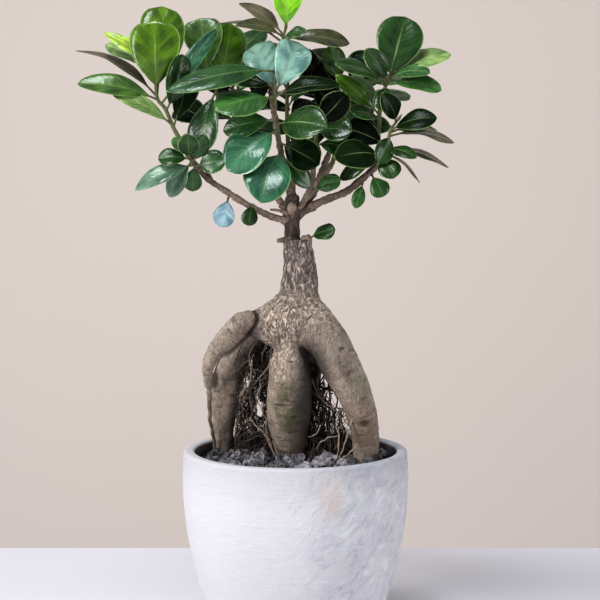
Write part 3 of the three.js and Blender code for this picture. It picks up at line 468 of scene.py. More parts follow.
# Blade outline: share of the blade's length, and half width as a share of the full half width. Then
# the stalk's share of a leaf's length, how far its middle arches, and how steeply its halves fold up
OUTLINE = [[0, 0], [0.28, 0.66], [0.62, 1], [0.88, 0.72]]
STALK_SHARE = 0.13
ARCH = 0.09
FOLD = 0.2

# A leaf's faces along and across, and half its thickness
LEAF_ROWS = 20
LEAF_COLUMNS = 10
HALF_THICKNESS = 0.26

# How pointed leaves are: 0.5 is a half round end. The usual, the broad ones painted pale with glare, and each
# stem's own
USUAL_TIP = 0.48
BROAD_TIP = 0.24
TIPS = {
    "shoot_left": 0.34, "shoot_left_back": 0.36, "shoot_right": 0.4, "shoot_centre": 0.5,
    "spray_front": 0.62, "spray_centre_low": 0.56, "twig_left_low": 0.55, "twig_right_low": 0.6,
}

# Colours of a leaf's upper face, by age and light: the leaves' own greens and browns, and among them painted
# shade for leaves inside the crown, painted glare and a painted reflection of the sky
TONES = {
    "dark": (0.013, 0.046, 0.008),
    # Painted shade: a near-black green for leaves inside the crown
    "deep": (0.004, 0.014, 0.003),
    "green": (0.02, 0.068, 0.02),
    "mid": (0.035, 0.112, 0.027),
    "teal": (0.03, 0.12, 0.066),
    # A pale grey-green, lighter and greyer than the mid green
    "dusty": (0.09, 0.17, 0.125),
    # Painted glare: a pale blue-green that stands for the lamps' reflection on glossy leaves
    "sheen": (0.17, 0.33, 0.3),
    "grass": (0.046, 0.108, 0.02),
    "olive": (0.046, 0.115, 0.007),
    "bright": (0.06, 0.135, 0.003),
    "lime": (0.15, 0.4, 0.012),
    "yellow": (0.3, 0.46, 0.05),
    "pale": (0.17, 0.28, 0.095),
    "brown": (0.085, 0.078, 0.046),
    "russet": (0.045, 0.05, 0.02),
    # Painted shade: an all but black green for leaves deep in the crown
    "shade": (0.002, 0.005, 0.002),
    # Painted reflection of the sky: a pale blue on a glossy leaf
    "sky": (0.22, 0.36, 0.46),
}


def draw_from(seed):
    """A seeded draw from 0 to 1, the same one that the solids use."""
    state = seed
    while True:
        state = (state * 16807) % 2147483647
        yield state / 2147483647


def seen(row):
    """A point given across and up as the front view shows it, and how far it lies behind the axis."""
    across, up, behind = row[:3]
    spread = 1 + behind / EYE_DISTANCE
    return np.array([across * spread, behind, EYE_HEIGHT - (EYE_HEIGHT - up) * spread])


def unit(v):
    """A vector at length 1."""
    return v / np.linalg.norm(v)


def nearest_on(rows, point):
    """The place on a stem's middle line that is nearest to a point."""
    best = None
    for low, high in zip(rows, rows[1:]):
        a, b = seen(low), seen(high)
        run = b - a
        share = min(max(float((point - a) @ run) / float(run @ run), 0), 1)
        place = a + run * share
        if best is None or np.linalg.norm(place - point) < np.linalg.norm(best - point):
            best = place
    return best


def leaf_frame(row, shift, stem):
    """Base, unit vectors along, across and out of the upper face, length and width of a leaf."""
    asked = seen(row[:3])
    base = nearest_on(stem, asked) if stem else asked
    tip = seen([row[3], row[4], row[5] + shift])
    along = tip - base
    length = float(np.linalg.norm(along))
    along = along / length
    lean, turn = row[7] * DEGREE, row[8] * DEGREE
    out = np.array([
        math.sin(turn) * math.cos(lean),
        -math.cos(turn) * math.cos(lean),
        math.sin(lean),
    ])
    out = unit(out - along * float(out @ along))
    return {
        "base": base, "along": along, "across": np.cross(out, along), "out": out,
        "length": length, "width": row[6],
    }


def leaf_point(leaf, share, half_width, side):
    """Point of a leaf's middle surface, at a share of its length and of the half width there."""
    blade = max(0, (share - STALK_SHARE) / (1 - STALK_SHARE))
    rise = ARCH * leaf["length"] * math.sin(math.pi * share) + FOLD * half_width * abs(side)
    droop = 0.5 * ARCH * leaf["length"] * blade * blade
    return (
        leaf["base"]
        + leaf["along"] * (share * leaf["length"])
        + leaf["across"] * (side * half_width)
        + leaf["out"] * (rise - droop)
    )


def outline_at(share):
    """Half width of the straight-sided outline at a share of the blade's length."""
    rows = [*OUTLINE, [1, 0]]
    k = max(next(i for i, row in enumerate(rows) if row[0] >= share), 1)
    low, high = rows[k - 1], rows[k]
    return low[1] + ((share - low[0]) / (high[0] - low[0])) * (high[1] - low[1])


def leaf_samples(leaf):
    """Points all over a leaf that stand for it where leaves are kept clear of each other."""
    samples = [leaf_point(leaf, STALK_SHARE * 0.6, 0, 0)]
    for i in range(SAMPLE_ROWS + 1):
        share = i / SAMPLE_ROWS
        half_width = outline_at(share) * leaf["width"] / 2
        for side in (-1, -0.5, 0, 0.5, 1):
            samples.append(leaf_point(leaf, STALK_SHARE + share * (1 - STALK_SHARE), half_width, side))
    return np.array(samples)


def limb_samples(rows):
    """Points along a limb, and the radius at each."""
    points, radii = [], []
    for low, high in zip(rows, rows[1:]):
        for share in (0, 0.25, 0.5, 0.75, 1):
            row = [a + share * (b - a) for a, b in zip(low, high)]
            points.append(seen(row))
            radii.append(row[3])
    return np.array(points), np.array(radii)


def clearance(samples, placed, limbs, owner):
    """Least distance from a leaf's samples to what belongs to other nodes, as a share of the wanted one."""
    least = math.inf
    for other in placed:
        if other["owner"] != owner:
            gaps = np.linalg.norm(samples[:, None] - other["samples"][None], axis=2)
            least = min(least, float(gaps.min()) / LEAF_CLEARANCE)
    for name, (points, radii) in limbs:
        if name != owner:
            gaps = np.linalg.norm(samples[:, None] - points[None], axis=2)
            least = min(least, float((gaps / (radii + WOOD_CLEARANCE)).min()))
    return least


def clear_leaf(row, owner, placed, limbs, stem=None):
    """A leaf with its tip pushed back or forward just far enough to clear what is there."""
    best = None
    for step in range(2 * MOST_STEPS + 1):
        shift = DEPTH_STEP * ((step + 1) // 2) * (1 if step % 2 else -1)
        leaf = leaf_frame(row, shift, stem)
        samples = leaf_samples(leaf)
        room = clearance(samples, placed, limbs, owner)
        if best is None or room > best["room"]:
            best = {"leaf": leaf, "samples": samples, "room": room, "owner": owner}
        if room >= 1:
            break
    return best


def fill_rows(route, fill):
    """Rows of leaves set spirally up a stem and heading away from it, drawn from a seed."""
    draw = draw_from(fill["seed"])
    rows = []
    for i in range(fill["count"]):
        place = ((i + 0.5) / fill["count"]) * (len(route) - 1)
        k = min(int(place), len(route) - 2)
        across, up, behind = [v + (place - k) * (w - v) for v, w in zip(route[k][:3], route[k + 1][:3])]
        length = 30 + 12 * next(draw)
        swing = (i * GOLDEN_ANGLE) % (2 * math.pi)
        azimuth = fill["heading"] * DEGREE + (swing - math.pi) * 0.8
        rise = (-15 + 55 * next(draw) + (20 * i) / fill["count"]) * DEGREE
        reach = length * math.cos(rise)
        rows.append([
            across, up, behind,
            across + reach * math.cos(azimuth),
            up + length * math.sin(rise),
            behind + reach * math.sin(azimuth),
            length * (0.5 + 0.1 * next(draw)), 50 + 20 * next(draw), 30 * math.cos(azimuth),
        ])
    return rows


def stem_rows(stem):
    """Route of a leafy stem, from just past the cut end of its wood."""
    before, end = stem["wood"][-2:]
    run = seen(end) - seen(before)
    off = (GAP + 0.05) / float(np.linalg.norm(run))
    start = [value + off * (value - before[k]) for k, value in enumerate(end)]
    square = [value + 5 * off * (value - before[k]) for k, value in enumerate(end)]
    start[3] = end[3]
    square[3] = end[3]
    return [start, square, *stem["route"]]


def placed_leaves():
    """Every leaf in its place, with its owner and its tone, and each leafy stem's route."""
    limbs = [("wood", limb_samples(rows)) for rows in [*WOOD, GRAFT, STOCK]]
    stems = [{**stem, "rows": stem_rows(stem)} for stem in LEAFY_STEMS]
    limbs += [(stem["name"], limb_samples(stem["rows"])) for stem in stems]
    placed = []
    for name, row, tone in LONE_LEAVES:
        placed.append({**clear_leaf(row, name, placed, []), "tone": tone})
    for stem in stems:
        for row, tone in zip(stem["leaves"], stem["tones"].split()):
            placed.append({**clear_leaf(row, stem["name"], placed, limbs, stem["rows"]), "tone": tone})
    for stem in stems:
        for i, row in enumerate(fill_rows(stem["route"], stem["fill"]) if "fill" in stem else []):
            leaf = clear_leaf(row, stem["name"], placed, limbs, stem["rows"])
            if leaf["room"] >= 1:
                # Back leaves are dark greens, one in four the near-black painted shade of the crown's inside
                placed.append({**leaf, "tone": ("dark", "deep", "mid", "dark")[i % 4]})
    return placed, {stem["name"]: stem["rows"] for stem in stems}


def put_in_scene(name, data):
    """An object of a mesh, a light or a camera, in the scene."""
    made = bpy.data.objects.new(name, data)
    bpy.context.scene.collection.objects.link(made)
    return made


def read_rows(items, key, width, kind=float):
    """The same values of every item of a mesh, one row each."""
    values = np.empty(len(items) * width, kind)
    items.foreach_get(key, values)
    return values.reshape(-1, width)


def store(data, **attributes):
    """Numbers for every point of a mesh, kept under their names."""
    for label, values in attributes.items():
        data.attributes.new(label, "FLOAT", "POINT").data.foreach_set("value", values)


class Shell:
    """Vertices, faces, tones and places on the leaf that are gathered for one mesh, in millimetres."""

    def __init__(self):
        self.vertices, self.faces, self.places, self.tones, self.slots = [], [], [], [], []

    def add(self, vertices, faces, places=None, tone=(0, 0, 0), faces_out=None, slot=0):
        """Adds a shell, in a tone and on a material slot."""
        first = len(self.vertices)
        self.vertices += [tuple(v) for v in vertices]
        self.faces += [tuple(first + k for k in face) for face in faces]
        self.places += places or [(0.5, 0.5)] * len(vertices)
        self.tones += [(*tone, side) for side in (faces_out or [1] * len(vertices))]
        self.slots += [slot] * len(faces)

    def mesh(self, name, materials):
        """The gathered shell as an object, in metres."""
        data = bpy.data.meshes.new(name)
        data.from_pydata([tuple(c * MM for c in v) for v in self.vertices], [], self.faces)
        for material in materials:
            data.materials.append(material)
        data.polygons.foreach_set("material_index", self.slots)
        data.shade_smooth()
        corners = read_rows(data.loops, "vertex_index", 1, int)[:, 0]
        place = data.uv_layers.new(name="place")
        place.data.foreach_set("uv", np.array(self.places)[corners].ravel())
        tone = data.color_attributes.new("tone", "FLOAT_COLOR", "POINT")
        tone.data.foreach_set("color", np.array(self.tones, float).ravel())
        data.validate()
        return put_in_scene(name, data)


def curve(rows, counts):
    """A smooth curve through rows of numbers, with a count of points for each span."""
    padded = np.vstack([2 * rows[0] - rows[1], rows, 2 * rows[-1] - rows[-2]])
    made = []
    for i, count in enumerate(counts):
        p0, p1, p2, p3 = padded[i:i + 4]
        for t in np.arange(count) / count:
            made.append(0.5 * (
                2 * p1 + (p2 - p0) * t + (2 * p0 - 5 * p1 + 4 * p2 - p3) * t ** 2
                + (3 * p1 - p0 - 3 * p2 + p3) * t ** 3
            ))
    return np.array([*made, rows[-1]])


def smooth_route(rows, step):
    """Points and radii along a smooth curve through a route's rows, about a step apart."""
    points = np.array([[*seen(row), row[3]] for row in rows])
    spans = [np.linalg.norm((end - start)[:3]) for start, end in zip(points, points[1:])]
    made = curve(points, [max(1, int(round(span / step))) for span in spans])
    return made[:, :3], np.maximum(made[:, 3], 0.1)


def bend(points, steps=8):
    """A smooth curve through section points."""
    rows = np.array(points, float)
    return [tuple(row) for row in curve(rows, [steps] * (len(rows) - 1))]


def tube(points, radii, sides):
    """Vertices and faces of a closed tube round a curve, with a fan at each end."""
    along = [unit(points[min(i + 1, len(points) - 1)] - points[max(i - 1, 0)]) for i in range(len(points))]
    side = np.cross([0.0, 1.0, 0.0], along[0])
    if np.linalg.norm(side) < 0.2:
        side = np.cross([1.0, 0.0, 0.0], along[0])
    turns = np.arange(sides) * 2 * math.pi / sides
    vertices, faces = [], []
    for i, point in enumerate(points):
        side = unit(side - along[i] * float(side @ along[i]))
        other = np.cross(along[i], side)
        for turn in turns:
            vertices.append(point + radii[i] * (side * math.cos(turn) + other * math.sin(turn)))
    for i in range(len(points) - 1):
        a, b = i * sides, (i + 1) * sides
        for k in range(sides):
            n = (k + 1) % sides
            faces.append((a + k, a + n, b + n, b + k))
    low, high = len(vertices), len(vertices) + 1
    vertices += [points[0] - along[0] * radii[0] * 0.15, points[-1] + along[-1] * radii[-1] * 0.15]
    last = (len(points) - 1) * sides
    for k in range(sides):
        n = (k + 1) % sides
        faces.append((low, n, k))
        faces.append((high, last + k, last + n))
    return vertices, faces


def finish_piece(piece, slot, *nodes):
    """Puts a finished piece on the plant's one body and hides the frame's parts that it stands for."""
    if nodes:
        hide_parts(*nodes)
    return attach(piece, "root")


def plain_mesh(source, name):
    """An object's evaluated mesh as a plain object of its own, and the source removed."""
    graph = bpy.context.evaluated_depsgraph_get()
    data = bpy.data.meshes.new_from_object(source.evaluated_get(graph), depsgraph=graph)
    data.name = name
    bpy.data.objects.remove(source)
    return put_in_scene(name, data)


class Tree:
    """A node tree, with short calls that add nodes to it."""

    def node(self, kind, sockets=None, **settings):
        """A node with its settings, and its sockets fed by name or number."""
        made = self.tree.nodes.new(kind)
        for key, value in settings.items():
            setattr(made, key, value)
        for socket, value in (sockets or {}).items():
            self.feed(made.inputs[socket], value)
        return made

    def feed(self, socket, value):
        """Links a socket to another node's output, or sets its value."""
        if isinstance(value, bpy.types.NodeSocket):
            self.tree.links.new(value, socket)
        elif isinstance(value, tuple) and len(value) == 3 and socket.type == "RGBA":
            socket.default_value = (*value, 1)
        else:
            socket.default_value = value

    def sums(self, operation, a, b=0.0, clamp=False):
        """One operation on two numbers."""
        return self.node("ShaderNodeMath", {0: a, 1: b}, operation=operation, use_clamp=clamp).outputs[0]

    def times(self, a, b, clamp=False):
        return self.sums("MULTIPLY", a, b, clamp)

    def plus(self, a, b):
        return self.sums("ADD", a, b)

    def minus(self, a, b):
        return self.sums("SUBTRACT", a, b)


class Paint(Tree):
    """A material's node tree, with short calls for the nodes that the finishes here use."""

    def __init__(self, name, roughness):
        self.material = bpy.data.materials.new(name)
        self.material.use_nodes = True
        self.tree = self.material.node_tree
        self.shader = self.tree.nodes["Principled BSDF"]
        self.shader.inputs["Roughness"].default_value = roughness
        self.place = self.node("ShaderNodeTexCoord").outputs["Object"]

    def stretched(self, x, y, z, vector=None):
        """Object place, or another one, stretched along each axis."""
        sockets = {"Vector": vector or self.place, "Scale": (x, y, z)}
        return self.node("ShaderNodeMapping", sockets).outputs["Vector"]

    def noise(self, size, detail=3, vector=None, rough=0.55, distortion=0.0):
        """Cloudy noise whose features are about size millimetres."""
        return self.node("ShaderNodeTexNoise", {
            "Vector": vector or self.place, "Scale": 1 / (size * MM), "Detail": detail,
            "Roughness": rough, "Distortion": distortion,
        }).outputs["Fac"]

    def cells(self, size):
        """Distance in a cell pattern whose cells are about size millimetres."""
        sockets = {"Vector": self.place, "Scale": 1 / (size * MM)}
        return self.node("ShaderNodeTexVoronoi", sockets, feature="F1").outputs["Distance"]

    def band(self, value, low, high):
        """0 below low, 1 above high, smooth between."""
        sockets = {"Value": value, "From Min": low, "From Max": high}
        return self.node("ShaderNodeMapRange", sockets, interpolation_type="SMOOTHSTEP").outputs["Result"]

    def mix(self, share, a, b, blend="MIX"):
        """One colour at share 0 and another at share 1."""
        sockets = {0: share, 6: a, 7: b}
        return self.node("ShaderNodeMix", sockets, data_type="RGBA", blend_type=blend).outputs[2]

    def tint(self, base, share, strength, tone):
        """The base with a tone over it, as strongly as a share from 0 to 1 and a strength say."""
        return self.mix(self.times(share, strength), base, tone)

    def axis(self, name):
        """One coordinate of the object place."""
        return self.node("ShaderNodeSeparateXYZ", {0: self.place}).outputs[name]

    def joined(self, x, y, z):
        """A vector of three numbers."""
        return self.node("ShaderNodeCombineXYZ", {0: x, 1: y, 2: z}).outputs[0]

    def attribute(self, name):
        """A number stored on the mesh."""
        return self.node("ShaderNodeAttribute", attribute_name=name).outputs["Fac"]

    def patch(self, centre, scale, inner, outer):
        """1 round a place in millimetres, 0 away from it, measured along stretched axes."""
        sockets = {0: self.stretched(*scale), 1: tuple(c * s * MM for c, s in zip(centre, scale))}
        off = self.node("ShaderNodeVectorMath", sockets, operation="DISTANCE")
        return self.band(off.outputs["Value"], outer * MM, inner * MM)

    def bump(self, height, depth):
        """Relief of about depth millimetres."""
        return self.node("ShaderNodeBump", {"Distance": depth * MM, "Height": height}).outputs["Normal"]

    def finish(self, colour, rough=None, normal=None):
        """The material, with its shader fed."""
        for name, value in (("Base Color", colour), ("Roughness", rough), ("Normal", normal)):
            if value is not None:
                self.feed(self.shader.inputs[name], value)
        return self.material


def scaled(colour, share):
    """A colour made darker or lighter."""
    return tuple(share * c for c in colour)


def concrete(colour, grey):
    """Whitewash brushed over concrete: soft blotches, slanting strokes on the right, bare dark inside. Its
    upper part, the rim's outside on the right and, partly, the greyer right side are painted shade.
    """
    paint = Paint("whitewashed_concrete", 0.82)
    up, right = paint.axis("Z"), paint.band(paint.axis("X"), -0.012, 0.034)
    clouds = paint.noise(22, 5, rough=0.6, distortion=0.4)
    slanted = paint.node(
        "ShaderNodeVectorRotate", {"Vector": paint.place, "Angle": 0.75}, rotation_type="Y_AXIS",
    ).outputs[0]
    strokes = paint.noise(8, 5, paint.stretched(0.6, 0.9, 1.4, slanted), rough=0.68, distortion=0.8)
    scratches = paint.noise(14, 4, paint.stretched(0.3, 0.3, 9), rough=0.7)
    # Painted shade on the outside of the rim on the right
    painted_rim_shade = paint.times(paint.band(up, 0.1, 0.113), paint.band(paint.axis("X"), -0.005, 0.03))
    warm = paint.patch((21, 0, 93.5), (1, 0, 0.55), 3, 10)
    warm = paint.times(warm, paint.band(paint.axis("Y"), 0.01, -0.03))
    warm = paint.times(warm, paint.band(clouds, 0.25, 0.45))
    # Grey mottling and worn grey strokes grow to the right: the pot's own lavender brushwork, made stronger
    # there as painted shade of the side away from the light
    mottled_and_shaded = paint.times(paint.band(clouds, 0.36, 0.68), paint.plus(0.12, right), True)
    brushed = paint.times(paint.band(strokes, 0.5, 0.68), paint.plus(0.04, right), True)
    worn_and_shaded = paint.times(paint.band(strokes, 0.46, 0.34), paint.plus(0.06, right), True)
    wash = colour
    for share, strength, tone in (
        (mottled_and_shaded, 0.3, grey),
        (brushed, 0.5, scaled(colour, 1.32)),
        (worn_and_shaded, 0.6, scaled(grey, 0.85)),
        (paint.band(scratches, 0.57, 0.7), 0.12, grey),
        (painted_rim_shade, 0.5, scaled(grey, 0.85)),
        # Painted shade: the pot's upper part darker towards the rim
        (paint.band(up, 0.082, 0.11), 0.42, scaled(colour, 0.6)),
        (warm, 0.8, (0.53, 0.46, 0.43)),
    ):
        wash = paint.tint(wash, share, strength, tone)
    from_axis = paint.node("ShaderNodeVectorMath", {0: paint.stretched(1, 1, 0)}, operation="LENGTH")
    inner = paint.band(from_axis.outputs["Value"], (POT_RADIUS - 2.8) * MM, (POT_RADIUS - 4.6) * MM)
    inner = paint.times(inner, paint.band(up, 0.09, 0.095))
    inner = paint.times(inner, paint.band(up, (POT_HEIGHT - 0.4) * MM, (POT_HEIGHT - 2) * MM))
    bare = paint.mix(paint.noise(6, 4), (0.045, 0.04, 0.04), (0.12, 0.11, 0.11))
    grain = paint.plus(paint.noise(0.9, 3), paint.times(paint.noise(4, 4), 1.2))
    grain = paint.plus(grain, paint.times(paint.times(strokes, right), 9))
    grain = paint.plus(grain, paint.times(scratches, 0.8))
    return paint.finish(paint.mix(inner, wash, bare), normal=paint.bump(grain, 0.28))


def bark_patches(dark):
    """Shade, a crack, moss, rust and knots on the swollen roots.

    Each is a place, how the axes are stretched, the radii where it is full and gone, its strength and tone.
    """
    knot = (0.035, 0.02, 0.012)
    return (
        ((25, -14, 178), (1, 0.3, 0.62), 5, 17, 0.42, scaled(dark, 0.5)),
        ((5, -8, 134), (1, 0.25, 0.2), 4, 15, 0.55, scaled(dark, 0.3)),
        ((11.5, -8, 138), (1, 0.25, 0.25), 6.5, 13.5, 0.8, scaled(dark, 0.17)),
        ((-8.5, -12, 138.6), (0.12, 0.1, 1), 0.35, 0.9, 0.8, scaled(dark, 0.15)),
        ((39, -14, 152), (1, 0.4, 0.8), 2, 8, 0.4, (0.15, 0.165, 0.09)),
        ((40, -12, 126), (0.8, 0.3, 0.5), 3, 11, 0.5, (0.25, 0.17, 0.115)),
        ((27, -18, 173), (0.6, 0.15, 1), 0.45, 1.5, 0.85, knot),
        ((40.5, -12, 128), (0.6, 0.15, 1), 0.96, 3.2, 0.85, knot),
        ((-25, -18, 140), (0.6, 0.15, 1), 0.36, 1.2, 0.85, knot),
    )


def stock_bark(paint, strips):
    """Rough grey and brown strips on the stock, darker where the graft stands out of it."""
    rough = paint.mix(strips, (0.065, 0.044, 0.038), (0.66, 0.54, 0.48))
    blotch = paint.band(paint.noise(7, 4, paint.stretched(1, 1, 0.6)), 0.56, 0.68)
    rough = paint.tint(rough, blotch, 0.6, (0.04, 0.026, 0.022))
    grafted = paint.mix(strips, (0.03, 0.018, 0.013), (0.15, 0.095, 0.07))
    return paint.mix(paint.band(paint.axis("Z"), 0.233, 0.239), rough, grafted)


def root_bark(light, dark):
    """Bark of the swollen roots: dark strokes on the pale hip, fine rings round the roots, rough stock, and
    painted shade on the far sides, in the creases and under the outer finger.
    """
    paint = Paint("ginseng_bark", 0.76)
    down, speckle, hollow = paint.attribute("along"), paint.attribute("speckle"), paint.attribute("hollow")
    stock = paint.band(paint.axis("Z"), 0.198, 0.212)
    grain = paint.noise(0.85, 4, rough=0.8)
    run = paint.joined(paint.times(paint.axis("X"), 0.12), paint.times(paint.axis("Y"), 0.12), down)
    lines = paint.noise(2.2, 5, run, rough=0.75, distortion=0.4)
    ring = paint.times(paint.band(lines, 0.54, 0.66), paint.minus(1, stock))
    ring = paint.times(ring, paint.band(paint.noise(5, 2), 0.4, 0.56))
    dash = paint.noise(1.7, 4, paint.stretched(1, 1, 0.5), rough=0.72, distortion=1.0)
    strength = paint.plus(paint.times(speckle, 0.72), 0.26)
    strips = paint.noise(2.1, 5, paint.stretched(1, 1, 0.42), rough=0.78, distortion=0.8)
    strips = paint.band(strips, 0.4, 0.6)
    olive = paint.patch((-4, -12, 137), (1.2, 0.4, 0.62), 5, 13)
    olive = paint.times(olive, paint.band(paint.noise(7, 4), 0.36, 0.54))
    pits = paint.band(paint.cells(8), 0.085, 0.04)
    colour = paint.mix(paint.band(paint.noise(15, 4, rough=0.6), 0.34, 0.66), scaled(dark, 1.15), light)
    for share, amount, tone in (
        (paint.band(grain, 0.52, 0.38), 0.5, scaled(dark, 0.45)),
        (paint.band(grain, 0.56, 0.68), 0.4, scaled(light, 1.5)),
        (ring, 0.7, scaled(dark, 0.3)),
        (paint.times(paint.band(dash, 0.5, 0.6), strength), 0.85, scaled(light, 2.2)),
        (paint.times(paint.band(dash, 0.46, 0.37), strength), 0.95, scaled(dark, 0.24)),
        (stock, 0.85, stock_bark(paint, strips)),
        (olive, 0.75, (0.07, 0.078, 0.02)),
        *((paint.patch(*where), amount, tone) for *where, amount, tone in bark_patches(dark)),
        (pits, 0.75, (0.03, 0.022, 0.016)),
        # Painted shade in the creases and painted shadow under the outer finger
        (paint.band(hollow, 0.16, 0.58), 0.95, (0.022, 0.012, 0.008)),
    ):
        colour = paint.tint(colour, share, amount, tone)
    relief = paint.plus(paint.times(dash, strength), paint.times(grain, 0.6))
    relief = paint.plus(relief, paint.times(ring, -0.5))
    relief = paint.plus(relief, paint.times(paint.times(strips, stock), 1.6))
    relief = paint.plus(relief, paint.times(pits, -0.8))
    return paint.finish(colour, normal=paint.bump(relief, 0.9))


def bark(name, light, dark, rings, speckle):
    """Bark of branches and fine roots: pale and dark speckles, rings, pits and a greenish tint."""
    paint = Paint(name, 0.78)
    high = paint.band(paint.axis("Z"), 0.16, 0.19)
    lines = paint.noise(7, 5, paint.stretched(0.5, 0.5, 5), rough=0.65, distortion=0.4)
    ring = paint.times(paint.band(lines, 0.52, 0.66), paint.minus(1, high))
    spots = paint.noise(1.5, 3, rough=0.7)
    pale = paint.times(paint.band(spots, 0.56, 0.66), paint.plus(0.25, high))
    green = paint.band(paint.noise(22, 3, paint.stretched(1, 1, 0.5)), 0.56, 0.68)
    pits = paint.band(paint.cells(9), 0.1, 0.05)
    colour = paint.mix(paint.band(paint.noise(14, 5, rough=0.6), 0.34, 0.68), dark, light)
    colour = paint.tint(colour, ring, 0.5 * rings, scaled(dark, 0.45))
    colour = paint.mix(paint.times(pale, 0.55 * speckle, True), colour, (0.6, 0.55, 0.48))
    deep = paint.band(paint.noise(1.9, 3, rough=0.75), 0.42, 0.33)
    colour = paint.tint(colour, deep, 0.75, scaled(dark, 0.3))
    colour = paint.tint(colour, paint.times(green, paint.minus(1, high)), 0.4, (0.16, 0.17, 0.07))
    colour = paint.tint(colour, pits, 0.8, (0.03, 0.022, 0.016))
    relief = paint.plus(spots, paint.times(lines, -0.9 * rings))
    relief = paint.plus(relief, paint.times(pits, -0.8))
    return paint.finish(colour, normal=paint.bump(relief, 0.55))


def leaf_skin(vein_colour, edge_colour):
    """Glossy leaf: its own tone with painted light and shade in patches and streaks, a thin pale midrib and
    rim, faint side veins, a dull paler underside.
    """
    paint = Paint("leaf", 0.3)
    tone = paint.node("ShaderNodeAttribute", attribute_name="tone")
    own, under = tone.outputs["Color"], paint.minus(1, tone.outputs["Alpha"])
    place = paint.node("ShaderNodeUVMap", uv_map="place").outputs["UV"]
    split = paint.node("ShaderNodeSeparateXYZ", {0: place})
    across, along = split.outputs["X"], split.outputs["Y"]
    off = paint.sums("ABSOLUTE", paint.minus(across, 0.5))
    dim = paint.mix(1.0, own, (0.45, 0.5, 0.5), "MULTIPLY")
    lit = paint.mix(1.0, own, (1.5, 1.35, 1.2), "MULTIPLY")
    slant = paint.minus(paint.times(along, 10), paint.times(off, 7))
    run = paint.joined(paint.times(slant, 0.8), across, paint.times(paint.axis("Z"), 60))
    streaks = paint.noise(1000, 3, run, rough=0.6)
    quilt = paint.sums("ABSOLUTE", paint.minus(paint.sums("FRACT", slant), 0.5))
    vein = paint.times(paint.band(quilt, 0.12, 0.0), paint.band(off, 0.46, 0.2))
    bright = paint.band(paint.node("ShaderNodeRGBToBW", {0: own}).outputs[0], 0.004, 0.045)
    rib = paint.times(paint.band(off, 0.024, 0.008), paint.band(along, 1.0, 0.5))
    rim = paint.sums("MAXIMUM", paint.band(off, 0.468, 0.486), paint.band(along, 0.98, 0.994))
    # Lit and dim copies of the leaf's tone, in cloudy patches and in streaks along the side veins: partly the
    # leaf's own mottling, partly painted light and shade
    colour = paint.mix(paint.band(paint.noise(12, 4), 0.34, 0.68), dim, lit)
    for share, amount, laid in (
        (paint.band(streaks, 0.44, 0.62), 0.5, lit),
        (paint.band(streaks, 0.46, 0.34), 0.5, dim),
        (paint.band(off, 0.16, 0.02), 0.35, paint.mix(1.0, own, (1.9, 1.6, 1.4), "MULTIPLY")),
        (vein, paint.plus(paint.times(bright, 0.05), 0.015), vein_colour),
        (rib, 0.4, vein_colour),
        (rim, 0.5, edge_colour),
        (under, 0.8, paint.mix(0.45, own, (0.16, 0.22, 0.085))),
    ):
        colour = paint.tint(colour, share, amount, laid)
    rough = paint.plus(paint.plus(paint.times(under, 0.3), 0.1), paint.times(streaks, 0.3))
    specular = paint.shader.inputs["Specular IOR Level"]
    specular.default_value = 0.36
    paint.feed(specular, paint.plus(paint.times(bright, 0.36), 0.08))
    relief = paint.plus(paint.times(quilt, 0.28), paint.times(rib, -0.6))
    relief = paint.plus(relief, paint.noise(4.5, 3))
    return paint.finish(colour, rough, paint.bump(relief, 0.25))


def green_wood(colour):
    """Young stem: brown-green, with short dark flecks."""
    paint = Paint("green_wood", 0.5)
    flecks = paint.band(paint.noise(1.6, 3), 0.5, 0.65)
    made = paint.mix(paint.noise(11, 3), colour, (0.13, 0.12, 0.05))
    made = paint.tint(made, flecks, 0.5, (0.05, 0.035, 0.02))
    return paint.finish(made, normal=paint.bump(paint.noise(1.2, 3), 0.15))


def lava(colour):
    """Rough grey lava stone with pores, each stone of its own shade."""
    paint = Paint("lava_gravel", 0.88)
    made = paint.mix(paint.attribute("shade"), scaled(colour, 0.25), scaled(colour, 1.45))
    made = paint.mix(paint.band(paint.noise(3, 5, rough=0.7), 0.4, 0.56), scaled(colour, 0.26), made)
    pores = paint.band(paint.cells(1.3), 0.3, 0.1)
    made = paint.tint(made, pores, 0.7, (0.012, 0.011, 0.012))
    return paint.finish(made, normal=paint.bump(paint.minus(paint.noise(0.9, 4), pores), 0.6))


def earth():
    """Damp, nearly black potting soil."""
    paint = Paint("potting_soil", 0.95)
    made = paint.mix(paint.band(paint.noise(2.4, 4), 0.4, 0.7), (0.01, 0.007, 0.006), (0.05, 0.033, 0.024))
    return paint.finish(made, normal=paint.bump(paint.noise(1.5, 4), 0.6))


def thread(dark, light):
    """Hair roots: most nearly black, which is partly painted shade in the gaps, and some bleached, as each
    strand's own shade says.
    """
    paint = Paint("hair_root_bark", 0.85)
    made = paint.mix(paint.attribute("shade"), dark, light)
    made = paint.tint(made, paint.band(paint.noise(2.5, 3), 0.5, 0.65), 0.5, scaled(dark, 0.6))
    return paint.finish(made)


